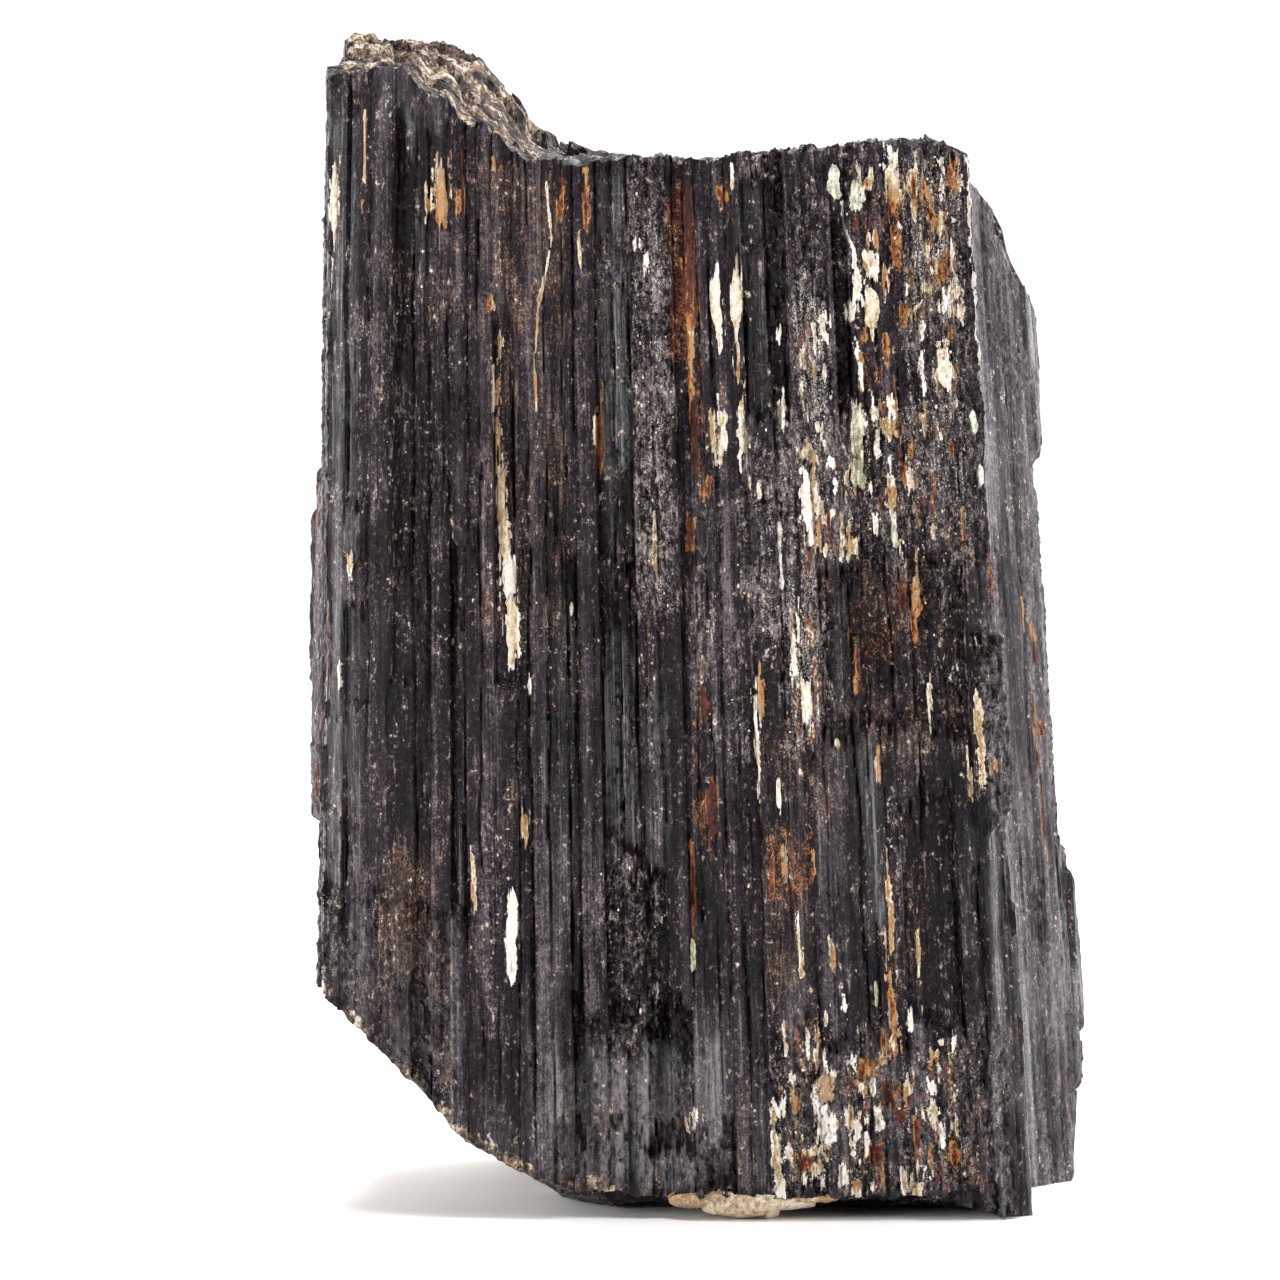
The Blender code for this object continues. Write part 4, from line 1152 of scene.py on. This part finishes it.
# %% Coats of the skin
STAINS = [(0.0, "#ebe4de"), (0.14, "#dacdb8"), (0.28, "#b9a27f"), (0.38, "#8a6c52"), (0.47, "#bf8d50"),
          (0.54, "#9c6238"), (0.64, "#6a3a2a"), (0.8, "#411e1a"), (1.0, "#20120f")]
WHITENED = [(0.0, "#bdb2ab"), (1.0, "#eee8e2")]
FILL_EDGE = {"filled": 1.0, "striae": 0.35, "streaks": 0.3, "chips": 0.25}
Coat = namedtuple("Coat", "where low high most stops mottle")
COATS = {
    "brown_dusting": Coat(
        {"streaks": 1.0, "patches": 0.5, "grain": 0.5, "film": 0.8, "clean_and_shaded": -0.4}, 1.05, 1.9, 0.6,
        [(0.0, "#2e221e"), (1.0, "#6b5446")], {"grain": 1.0, "streaks": 0.4}),
    # Painted highlights: fine light lines along the striae, where the prisms' edges would catch the lamps.
    "painted_glints": Coat(
        {"lines": 0.9, "bands": 0.3, "streaks": 0.6, "grain": 0.4}, 1.0, 1.5, 0.5,
        [(0.0, "#574b4c"), (1.0, "#8f8381")], {"splinters": 1.0}),
    # Painted sheen: grey and blue-grey lines that lighten the glassy faces, as reflected light would.
    "gloss_and_sheen": Coat(
        {"gloss_and_sheen": 1.2, "striae": 0.6, "bands": 0.6}, 1.0, 1.8, 0.5,
        [(0.0, "#1b191c"), (0.6, "#454347"), (1.0, "#8b898b")], {"striae": 0.8, "lines": 0.3}),
    # Partly grey dust and partly painted reflected light, lightening the low front and the side-turned faces.
    "dust_and_reflection": Coat(
        {"dust_and_reflection": 1.3, "bands": 0.2, "streaks": 0.15, "patches": 0.2}, 0.1, 1.1, 0.9,
        [(0.0, "#282528"), (0.5, "#3a373a"), (0.78, "#524f53"), (1.0, "#848083")],
        {"dust_and_reflection": 0.5, "striae": 0.2, "bands": 0.2, "grain": 0.2, "chips": 0.2}),
    "film": Coat(
        {"film": 1.5, "streaks": 0.6, "patches": 0.7, "grain": 0.5}, 0.7, 2.2, 0.75,
        [(0.0, "#241a18"), (0.6, "#453630"), (1.0, "#85695a")],
        {"grain": 0.6, "streaks": 0.5, "chips": 0.4}),
    "rust": Coat(
        {"rust": 1.8, "chips": 0.6, "streaks": 0.6, "grain": 0.5}, 1.1, 2.0, 0.85,
        [(0.0, "#2e1714"), (0.6, "#6b3c2a"), (1.0, "#a8703f")],
        {"chips": 0.6, "grain": 0.6, "splinters": 0.3}),
    "sugar": Coat(
        {"sugar": 1.6, "streaks": 0.6, "splinters": 0.3, "chips": 0.5, "grain": 0.2}, 0.5, 1.6, 0.85,
        [(0.0, "#211a1d"), (0.6, "#544a4c"), (1.0, "#938785")],
        {"streaks": 0.4, "grain": 0.4, "chips": 0.7, "patches": 0.4}),
    "curls": Coat(
        {"sugar": 1.1, "pale": 0.6, "curls": 0.7, "streaks": 0.7, "grain": 0.5}, 1.7, 2.2, 0.9,
        WHITENED, {"grain": 1.0}),
    # Pale specks: partly dust and partly painted sparkle of tiny facets.
    "specks_and_glints": Coat(
        {"grain": 1.0, "crumbs": 0.4, "streaks": 0.4, "sugar": 0.6, "dust_and_reflection": -0.4, "clean_and_shaded": -0.6},
        1.95, 2.3, 0.5, WHITENED, {"chips": 1.0}),
    "threads": Coat(
        {"pale": 1.4, "splinters": 0.7, "streaks": 0.7, "patches": 0.4, "grain": 0.3}, 1.5, 1.75, 0.95,
        STAINS[:7], {"patches": 0.7, "crumbs": 0.5, "chips": 0.5, "grain": 0.3}),
    "crust": Coat(
        {"crust": 1.3, "chips": 0.5, "swirls": 0.4, "grain": 0.2}, 0.4, 1.0, 0.9,
        [(0.0, "#262021"), (0.35, "#433a3a"), (0.58, "#665a58"), (0.74, "#876c54"), (0.85, "#a9865f"),
         (0.92, "#c2b09a"), (1.0, "#dad1c6")],
        {"patches": 0.8, "crumbs": 0.3, "splinters": 0.2, "chips": 0.35, "grain": 0.2}),
    # A darker brown rim round each filling.
    "dark_filling_rims": Coat(
        FILL_EDGE, 0.15, 0.35, 0.6, [(0.0, "#1a1210"), (1.0, "#513a2b")], {"grain": 1.0, "chips": 0.5}),
}
# Painted shade: near-black in open grooves and on sunk prisms, as the open cracks lie in shade.
CRACK_SHADE = Coat(
    {"striae": -0.6, "chips": -0.6, "grain": -0.6, "groove": 0.6, "tone": -0.2}, 1.0, 1.5, 0.85,
    [(0.0, "#140e0e"), (1.0, "#2a1d19")], {"crumbs": 1.0})
print(len(COATS), "coats:", ", ".join(COATS))

# %% [markdown]
# ## The sound crystal and the fillings
#
# Under the coats is the sound crystal, nearly black, whose tone changes from prism to prism. It is painted
# darker, as shade, in the grooves, on sunk prisms and in the `clean_and_shaded` patches. Over them come the
# mineral fillings, and last the open cracks, painted near-black along the grooves as shade. The shader is
# rougher and duller where the crystal is crusted, and smoother where it is glassy.

# %% The schorl material
SOUND = [(0.0, "#0c080c"), (0.4, "#1a141a"), (0.7, "#31292f"), (1.0, "#5f565b")]
# The `groove`, `tone` and `clean_and_shaded` weights paint shade into the sound colour: darker grooves, sunk
# prisms and shaded patches. The others give its own tone.
SOUND_WEIGHTS = {"bands": 0.35, "striae": 0.35, "splinters": 0.2, "grain": 0.55, "crumbs": 0.2,
                 "chips": 0.35, "patches": 0.4, "tone": 0.7, "groove": -0.6, "clean_and_shaded": -0.7}
FILL_SHOWS = (0.42, 0.52)
FILL_STAIN = {"tint": 1.0, "filled": 0.25, "splinters": 0.1, "streaks": 0.14, "chips": 0.15, "grain": 0.08}
ROUGH = {"sugar": 0.5, "film": 0.5, "rust": 0.6, "crust": 0.6, "gloss_and_sheen": -0.5, "streaks": 0.2, "filled": 0.3}
SCHORL_IOR = 1.64


def schorl_colour(tree, sources):
    """The sound crystal under its coats, its fillings and its cracks."""
    def painted(below, coat):
        """A coat over the colour below it."""
        mottle = shows(tree, sources, coat.mottle, -0.9, 0.9)
        above = add(tree, "ValToRGB", {}, {0: mottle}, coat.stops).outputs[0]
        amount = shows(tree, sources, coat.where, coat.low, coat.high, 0.0, coat.most)
        return add(tree, "Mix", {"data_type": "RGBA"}, {0: amount, 6: below, 7: above}).outputs[2]

    sound = shows(tree, sources, SOUND_WEIGHTS, -1.2, 1.4)
    colour = add(tree, "ValToRGB", {}, {0: sound}, SOUND).outputs[0]
    for coat in COATS.values():
        colour = painted(colour, coat)
    stained = weighed(tree, sources, FILL_STAIN)
    stain = add(tree, "MapRange", {}, {"Value": stained, "From Min": 0.3, "From Max": 1.3}).outputs[0]
    mineral = add(tree, "ValToRGB", {}, {0: stain}, STAINS).outputs[0]
    filled = shows(tree, sources, FILL_EDGE, *FILL_SHOWS)
    colour = add(tree, "Mix", {"data_type": "RGBA"}, {0: filled, 6: colour, 7: mineral}).outputs[2]
    return painted(colour, CRACK_SHADE)


def schorl():
    """Glassy black prisms with dust, rust, grains and mineral threads."""
    material, tree, shader = new_material("schorl")
    grown = add(tree, "Attribute", {"attribute_name": "grown"}).outputs["Vector"]
    sources = patterns(tree, grown)
    for name in ("crust", "filled", "tint", "tone", "groove", *FINISHES):
        sources[name] = add(tree, "Attribute", {"attribute_name": name}).outputs["Fac"]
    colour = schorl_colour(tree, sources)
    rough = shows(tree, sources, ROUGH, -0.5, 0.8, 0.16, 0.62)
    uneven = shows(tree, sources, {"sugar": 1.0, "crust": 1.0, "gloss_and_sheen": -0.5}, -0.5, 1.0, 0.02, 0.075)
    fine = weighed(tree, sources, {"striae": 0.014, "grain": 0.012})
    chipped = {0: sources["chips"], 1: uneven, 2: fine}
    height = add(tree, "Math", {"operation": "MULTIPLY_ADD"}, chipped).outputs[0]
    bump = add(tree, "Bump", {}, {"Strength": 1.0, "Distance": 1.0 * MM, "Height": height}).outputs[0]
    glossy = shows(tree, sources, {"gloss_and_sheen": 1.0, "bands": 0.25, "striae": 0.15}, 0.0, 1.1, 0.07, 0.3)
    feed(tree, shader, {"Base Color": colour, "Roughness": rough, "Normal": bump,
                        "Specular IOR Level": glossy, "IOR": SCHORL_IOR})
    return material


MATERIALS = {"schorl": schorl()}
print("the schorl material has", len(MATERIALS["schorl"].node_tree.nodes), "nodes")

# %% [markdown]
# ## The schorl pieces
#
# Each piece is smooth on its faces and sharp where it chipped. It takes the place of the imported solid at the
# same spot, so it stays at the origin, and its material is the one that its slot names.

# %% Add the shells and the core
SHARP_ANGLE = math.radians(32)


def new_object(name, data):
    """An object in the scene."""
    made = bpy.data.objects.new(name, data)
    bpy.context.scene.collection.objects.link(made)
    return made


def add_piece(name, mesh, slot, angle=SHARP_ANGLE):
    """Makes a mesh a piece of the object."""
    mesh.name = name
    mesh.shade_smooth()
    mesh.set_sharp_from_angle(angle=angle)
    mesh.materials.append(MATERIALS[slot])
    piece = new_object(name, mesh)
    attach(piece, "root")
    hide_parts("tourmaline")
    print(name, "has", sum(len(face.vertices) - 2 for face in mesh.polygons), "triangles")


for shell, mesh in zip(SHELLS, shell_meshes):
    add_piece(shell.name, mesh, "schorl")
add_piece("schorl_core", schorl_core, "schorl")

# %% [markdown]
# ## Flakes that stand off
#
# A few flakes of albite and mica aren't flush. Each is a small grid, laid on the skin and extruded to a
# plate. It follows the ribs under it only in part, so its edges stand up. Its sides are nearly straight
# and its ends are splintered, as cleavage flakes are.

# %% Lay a plate on the skin
PLATE_CELL = (0.25, 0.45)
PLATE_CUTS = (0.02, 0.25)
PLATE_EDGE = [(0.5, 2.0), (0.35, 0.5)]
PLATE_BEND, PLATE_BEND_SIZE = 0.3, 3.0
PLATE_TEETH, PLATE_TEETH_SIZE = 0.5, 0.35
PLATE_CHIPS, PLATE_CHIP_SIZE, PLATE_CHIP_LENGTH = 0.4, 0.5, 1.5
PLATE_SPAN = (0.3, 122.0)
BURIED = 0.3


def plate_grid(bm, width, height):
    """The points of a flat grid and of its copy extruded upwards, from -0.5 to 0.5 each way."""
    counts = (max(2, round(width / PLATE_CELL[0])), max(3, round(height / PLATE_CELL[1])))
    under = bmesh.ops.create_grid(bm, x_segments=counts[0], y_segments=counts[1], size=0.5)["verts"]
    faces = list({face for vert in under for face in vert.link_faces})
    raised = bmesh.ops.extrude_face_region(bm, geom=faces)["geom"]
    over = [part for part in raised if isinstance(part, bmesh.types.BMVert)]
    bmesh.ops.translate(bm, verts=over, vec=(0, 0, 1))
    return under + over


def plate_breadths(u, v, height, cuts, seed):
    """How broad a plate is at each point: its four corners are cut off and its two sides are ragged."""
    edge = sum(share * wobble(np.sign(u) * 3, v * height, 0.0, Lumps(size, size, seed))
               for share, size in PLATE_EDGE)
    left = np.minimum((0.5 - v) / cuts[0], (0.5 + v) / cuts[1])
    right = np.minimum((0.5 - v) / cuts[2], (0.5 + v) / cuts[3])
    return np.clip(np.where(u < 0, left, right), 0.5, 1.0) + 1.2 * edge * (np.abs(u) > 0.3)


def lay_plate(bm, layer, dice, across, z, width, height, head, foot, follow=0.7, thickness=0.2):
    """Adds one ragged plate on the front to a bmesh, with its tints stored in the layer."""
    sheet = plate_grid(bm, width, height)
    u, v, is_over = np.array([vert.co[:] for vert in sheet]).T
    seed = dice.uniform(0, 1000)
    cuts = [dice.uniform(*PLATE_CUTS) for _ in range(4)]
    bend = PLATE_BEND * wobble(v * height, 0.0, 0.0, Lumps(PLATE_BEND_SIZE, PLATE_BEND_SIZE, seed + 50))
    stations = station_at("front", across) + width * (bend + u * plate_breadths(u, v, height, cuts, seed))
    toothed = Lumps(PLATE_TEETH_SIZE, PLATE_TEETH_SIZE, seed + 90)
    teeth = 1 + PLATE_TEETH * wobble(u * width, 0.0, 0.0, toothed)
    heights = np.clip(z + v * height * teeth, *PLATE_SPAN)
    depth = skin_insets(stations, heights)
    top = follow * depth + (1 - follow) * np.quantile(depth, 0.25)
    chip_lumps = Lumps(PLATE_CHIP_SIZE, PLATE_CHIP_SIZE, seed)
    chipped = chips(stations, heights / PLATE_CHIP_LENGTH, 0.0, chip_lumps)
    raised = top - thickness * (1.0 + PLATE_CHIPS * chipped)
    depth = np.where(is_over > 0.5, raised, np.maximum(top, depth) + BURIED)
    flat = plan_points(stations) - outward(stations) * depth[:, None]
    places = tapered(np.column_stack([flat, heights])) * MM
    for vert, place, share in zip(sheet, places.tolist(), (v + 0.5).tolist()):
        vert.co = place
        vert[layer] = foot + (head - foot) * share


def closed_mesh(bm):
    """A mesh from a bmesh of closed pieces, facing outwards."""
    bmesh.ops.recalc_face_normals(bm, faces=bm.faces)
    return new_mesh("pieces", bm)


print("a plate's cells are", PLATE_CELL[0], "by", PLATE_CELL[1], "mm")

# %% [markdown]
# ## Albite, mica and iron oxide
#
# Albite is white feldspar in cleavage flakes, stained cream to amber by iron: matt to pearly. Muscovite
# mica peels in silvery, faintly green sheets: smooth and shiny. Iron oxide is earthy weathering: dull and
# powdery. All three take their tint from each piece and are broken up by the same patterns, so one
# function makes them.

# %% Three stained minerals
MICA_STAINS = [(0.24, "#cfd0c6"), (0.34, "#a09e8a"), (0.42, "#8b8764"), (0.5, "#5f5a48")]
Mineral = namedtuple("Mineral", "roughness bump_mm specular dirt stains")
MINERALS = {
    "albite": Mineral(0.5, 0.02, 0.5, 0.6, STAINS),
    "mica": Mineral(0.25, 0.006, 0.7, 0.4, MICA_STAINS),
    "iron_oxide": Mineral(0.8, 0.025, 0.3, 0.6, STAINS),
}
MINERAL_STAIN = {"tint": 1.0, "streaks": 0.11, "chips": 0.13, "grain": 0.06}
MINERAL_DIRT = ({"grain": -0.7, "streaks": -0.6, "chips": -0.4}, 0.7, 1.2)
DIRT = "#2b211d"


def stained_mineral(name, mineral):
    """Mineral stained by iron, from the tint stored on each piece."""
    material, tree, shader = new_material(name)
    place = add(tree, "TexCoord").outputs["Object"]
    in_mm = add(tree, "VectorMath", {"operation": "SCALE"}, {"Vector": place, "Scale": 1 / MM}).outputs[0]
    sources = patterns(tree, in_mm)
    sources["tint"] = add(tree, "Attribute", {"attribute_name": "tint"}).outputs["Fac"]
    stain = weighed(tree, sources, MINERAL_STAIN)
    clean_and_shaded = add(tree, "ValToRGB", {}, {0: stain}, mineral.stains).outputs[0]
    dirt = shows(tree, sources, *MINERAL_DIRT, 0.0, mineral.dirt)
    dirty = add(tree, "Mix", {"data_type": "RGBA"}, {0: dirt, 6: clean_and_shaded, 7: DIRT}).outputs[2]
    relief = weighed(tree, sources, dict.fromkeys(("striae", "grain", "chips"), mineral.bump_mm))
    bump = add(tree, "Bump", {}, {"Strength": 1.0, "Distance": 1.0 * MM, "Height": relief}).outputs[0]
    feed(tree, shader, {"Base Color": dirty, "Normal": bump, "Roughness": mineral.roughness,
                        "Specular IOR Level": mineral.specular})
    return material


MATERIALS.update({name: stained_mineral(name, mineral) for name, mineral in MINERALS.items()})
print("materials:", ", ".join(MATERIALS))

# %% [markdown]
# ## The lens of albite under the foot
#
# Under the front edge lies a flat lens of albite that grew in layers. It is made of overlapping
# icospheres, flattened and pushed about by chips, because its outline is rounded where the flakes' are
# straight.

# %% Make the foot lens
Layer = namedtuple("Layer", "centre radii tint")
FOOT_LENSES = [
    Layer((0.6, -24.3, 2.0), (4.2, 1.8, 0.95), 0.34),
    Layer((3.9, -24.6, 1.5), (4.4, 2.0, 1.3), 0.25),
    Layer((7.4, -24.6, 1.9), (4.2, 1.9, 0.95), 0.2),
    Layer((10.4, -24.7, 2.2), (3.6, 1.6, 0.5), 0.34),
]
LENS_CHIPS, LENS_FINE_CHIPS = Lumps(1.6, 1.0, 51.0), Lumps(0.6, 0.2, 53.0)
LENS_PUSHED_UP, LENS_PUSHED_OUT = 0.55, 0.6


def foot_lenses():
    """The lens as one mesh of its overlapping layers."""
    bm = bmesh.new()
    tint_layer = bm.verts.layers.float.new("tint")
    for centre, radii, tint in FOOT_LENSES:
        verts = bmesh.ops.create_icosphere(bm, subdivisions=5, radius=1.0)["verts"]
        x, y, z = (np.array([vert.co[:] for vert in verts]) * radii + centre).T
        lumps = 0.5 * chips(x / 2, y, z, LENS_CHIPS) + 0.12 * chips(x / 2.5, y, z, LENS_FINE_CHIPS)
        z = np.maximum(z + LENS_PUSHED_UP * radii[2] * lumps, 0.05)
        places = tapered(np.column_stack([x, y - LENS_PUSHED_OUT * lumps, z])) * MM
        for vert, place in zip(verts, places.tolist()):
            vert.co = place
            vert[tint_layer] = tint
    return closed_mesh(bm)


add_piece("albite_foot_lens", foot_lenses(), "albite")

# %% [markdown]
# ## Flakes of albite, mica and rust
#
# The larger fillings have a flake standing on them, a little smaller than the filling, which then frames
# it: albite on the pale ones and iron oxide on the rusty ones. The mica flakes have places of their own,
# listed as the fillings are.

# %% Make the flakes
LEAST_WIDTH, LEAST_HEIGHT = 1.0, 3.0
FLAKE_WIDTH, FLAKE_HEIGHT = 0.8, 0.9
PALE_TINTS, RUSTY_TINTS = (0.0, 0.36), (0.55, 0.95)
MICA_FLAKES = [
    (17.9, 105.3, 1.4, 3.4, 0.3, 0.32), (20.3, 103.9, 1.1, 3, 0.32, 0.34), (18.9, 75.9, 1.4, 2.8, 0.42, 0.4),
    (19.1, 80, 0.5, 4.4, 0.36, 0.4), (22.9, 70, 0.6, 3.4, 0.36, 0.34), (32.6, 81, 0.9, 2.4, 0.3, 0.36),
    (33, 75.6, 0.7, 2, 0.34, 0.36), (15.4, 48.4, 0.7, 1, 0.34, 0.36), (-0.3, 27, 0.5, 3.2, 0.42, 0.38),
    (18.6, 23, 0.4, 2.6, 0.4, 0.42), (-12.5, 62, 0.4, 1.2, 0.38, 0.34),
]


def standing(tints):
    """Rows for flakes on the larger fillings with a tint in this range."""
    return [(x, z, width * FLAKE_WIDTH, height * FLAKE_HEIGHT, head, foot)
            for x, z, width, height, head, foot in FILLINGS
            if tints[0] <= head < tints[1] and width >= LEAST_WIDTH and height >= LEAST_HEIGHT]


def flakes(rows, dice, **shape):
    """One mesh of plates."""
    bm = bmesh.new()
    layer = bm.verts.layers.float.new("tint")
    for row in rows:
        lay_plate(bm, layer, dice, *row, **shape)
    return closed_mesh(bm)


dice = random.Random(SEED + 2)
add_piece("albite_flakes", flakes(standing(PALE_TINTS), dice, thickness=0.14), "albite")
add_piece("mica_flakes", flakes(MICA_FLAKES, dice, follow=0.2, thickness=0.22), "mica")
add_piece("iron_oxide_flakes", flakes(standing(RUSTY_TINTS), dice, follow=0.9, thickness=0.07), "iron_oxide")

# %% [markdown]
# ## Grains
#
# Between the flakes lie hundreds of crumbs of albite, a few tenths of a millimetre long. Each is a small
# icosphere with its points pushed about. More of them lie where the skin is sugary, and none near the
# ends.

# %% Scatter the grains
GRAINS_PER_MM2 = 0.35
SIDE_GRAINS = {"left": 120, "back": 200, "right": 30}
SIDE_GRAIN_HEIGHTS = (8, 100)
HIGHEST_GRAIN = 107.0
CLEAR_OF_ENDS = 2.5
LEAST_GRAIN, GRAIN_SPREAD = 0.06, 0.11
GRAIN_TINT, GRAIN_LENGTH, GRAIN_PUSH = (0.12, 0.16), (0.8, 2.2), (0.6, 1.25)
GRAIN_SHARP = math.radians(15)


def grain_places(dice):
    """Side, across and Z of each grain."""
    rows = []
    for zone in ZONES["sugar"]:
        area = (zone.high - zone.low) * (zone.head - zone.foot)
        for _ in range(round(area * GRAINS_PER_MM2 * zone.amount)):
            z = dice.uniform(zone.foot, min(zone.head, HIGHEST_GRAIN))
            rows.append(("front", dice.uniform(zone.low, zone.high), z))
    for side, count in SIDE_GRAINS.items():
        for _ in range(count):
            rows.append((side, dice.uniform(*SIDE_SPAN[side]), dice.uniform(*SIDE_GRAIN_HEIGHTS)))
    return rows


def grain_centres(rows):
    """The grains' centres on the skin, leaving out those too near an end."""
    stations = np.array([station_at(side, across) for side, across, _ in rows])
    heights = np.array([z for _, _, z in rows])
    plain = plan_points(stations)
    kept = heights > underside_heights(plain) + CLEAR_OF_ENDS
    kept &= heights < top_heights(plain) - CLEAR_OF_ENDS
    stations, heights = stations[kept], heights[kept]
    flat = plan_points(stations) - outward(stations) * skin_insets(stations, heights)[:, None]
    return tapered(np.column_stack([flat, heights]))


def grains_mesh(dice):
    """All the grains as one mesh."""
    bm = bmesh.new()
    layer = bm.verts.layers.float.new("tint")
    for centre in grain_centres(grain_places(dice)).tolist():
        size = LEAST_GRAIN + GRAIN_SPREAD * dice.random() ** 3
        tint, length = abs(dice.gauss(*GRAIN_TINT)), dice.uniform(*GRAIN_LENGTH)
        for vert in bmesh.ops.create_icosphere(bm, subdivisions=1, radius=size)["verts"]:
            pushed = vert.co * dice.uniform(*GRAIN_PUSH)
            pushed.z *= length
            vert.co = (Vector(centre) + pushed) * MM
            vert[layer] = tint
    return closed_mesh(bm)


add_piece("albite_grains", grains_mesh(dice), "albite", GRAIN_SHARP)

# %% [markdown]
# ## The studio
#
# The floor is one wide sheet of white paper under a white sky, so the background is plain and the shadow
# soft. The sky is dimmer on the camera's side, as in a room with the lamps beside and behind the table: a
# prism face that looks at the camera mirrors that dim side and stays black, and one turned a little to
# either side catches the light. Two small low softboxes at the sides and one nearly overhead make those
# lines of light stronger.

# %% Floor and sky
FLOOR_RADIUS = 4.0
PAPER = {"Base Color": "#f6f5f4", "Roughness": 0.9, "Specular IOR Level": 0.2}
SKY, DIM_SIDE = 2.6, 0.1
BRIGHT_FROM, DIM_FROM = 0.5, -0.25
BACKGROUND = 1.1


def white_sky():
    """A white sky, dimmer on the camera's side and plain where the camera sees it."""
    sky = bpy.data.worlds.new("white_sky")
    sky.use_nodes = True
    tree = sky.node_tree
    place = add(tree, "TexCoord").outputs["Generated"]
    depth = add(tree, "SeparateXYZ", {}, {0: place}).outputs[1]
    level = shows(tree, {"depth": depth}, {"depth": 1.0}, DIM_FROM, BRIGHT_FROM, DIM_SIDE, SKY)
    seen = add(tree, "LightPath").outputs["Is Camera Ray"]
    strength = add(tree, "Mix", {"data_type": "FLOAT"}, {0: seen, 2: level, 3: BACKGROUND}).outputs[0]
    feed(tree, tree.nodes["Background"], {"Strength": strength, "Color": (1, 1, 1, 1)})
    return sky


bm = bmesh.new()
bmesh.ops.create_circle(bm, cap_ends=True, segments=96, radius=FLOOR_RADIUS)
floor = new_object("floor", new_mesh("floor", bm))
paper, paper_tree, paper_shader = new_material("matt_white_paper")
feed(paper_tree, paper_shader, PAPER)
floor.data.materials.append(paper)
bpy.context.scene.world = white_sky()
print("the sky is", round(SKY / DIM_SIDE), "times brighter behind the block than in front of it")

# %% [markdown]
# ## The softboxes
#
# They all aim at the middle of the block. The two at the sides are small and low, so that they glint from
# the prisms' edges, and the one overhead lights the broken top.

# %% Softboxes
Softbox = namedtuple("Softbox", "name place size power")
SOFTBOXES = [
    Softbox("left_softbox", (-0.8, -0.45, 0.2), (0.2, 0.4), 7.0),
    Softbox("right_softbox", (0.85, -0.3, 0.2), (0.2, 0.4), 6.0),
    Softbox("top_softbox", (0.0, 0.02, 1.0), (0.5, 0.5), 11.0),
]
AIM = Vector((0.0, 0.0, 0.06))

for box in SOFTBOXES:
    lamp = bpy.data.lights.new(box.name, "AREA")
    lamp.shape = "RECTANGLE"
    lamp.size, lamp.size_y = box.size
    lamp.energy = box.power
    stand = new_object(box.name, lamp)
    stand.location = box.place
    stand.rotation_euler = (AIM - stand.location).to_track_quat("-Z", "Y").to_euler()
print(len(SOFTBOXES), "softboxes")

# %% [markdown]
# ## The camera
#
# It looks straight at the widest face from half a metre away through a long lens, a hand's breadth above
# the floor and tilted slightly down.

# %% Camera
CAMERA_PLACE = (-0.0065, -0.525, 0.072)
CAMERA_TILT = math.radians(1.5)
LENS, SENSOR = 138.9, 36.0

lens = bpy.data.cameras.new("camera")
lens.lens, lens.sensor_width = LENS, SENSOR
camera = new_object("camera", lens)
camera.location = CAMERA_PLACE
camera.rotation_euler = (math.pi / 2 - CAMERA_TILT, 0, 0)
bpy.context.scene.camera = camera
bpy.context.scene.view_settings.view_transform = "Standard"
print("the camera sees", round(math.degrees(2 * math.atan(SENSOR / 2 / LENS)), 1), "degrees")
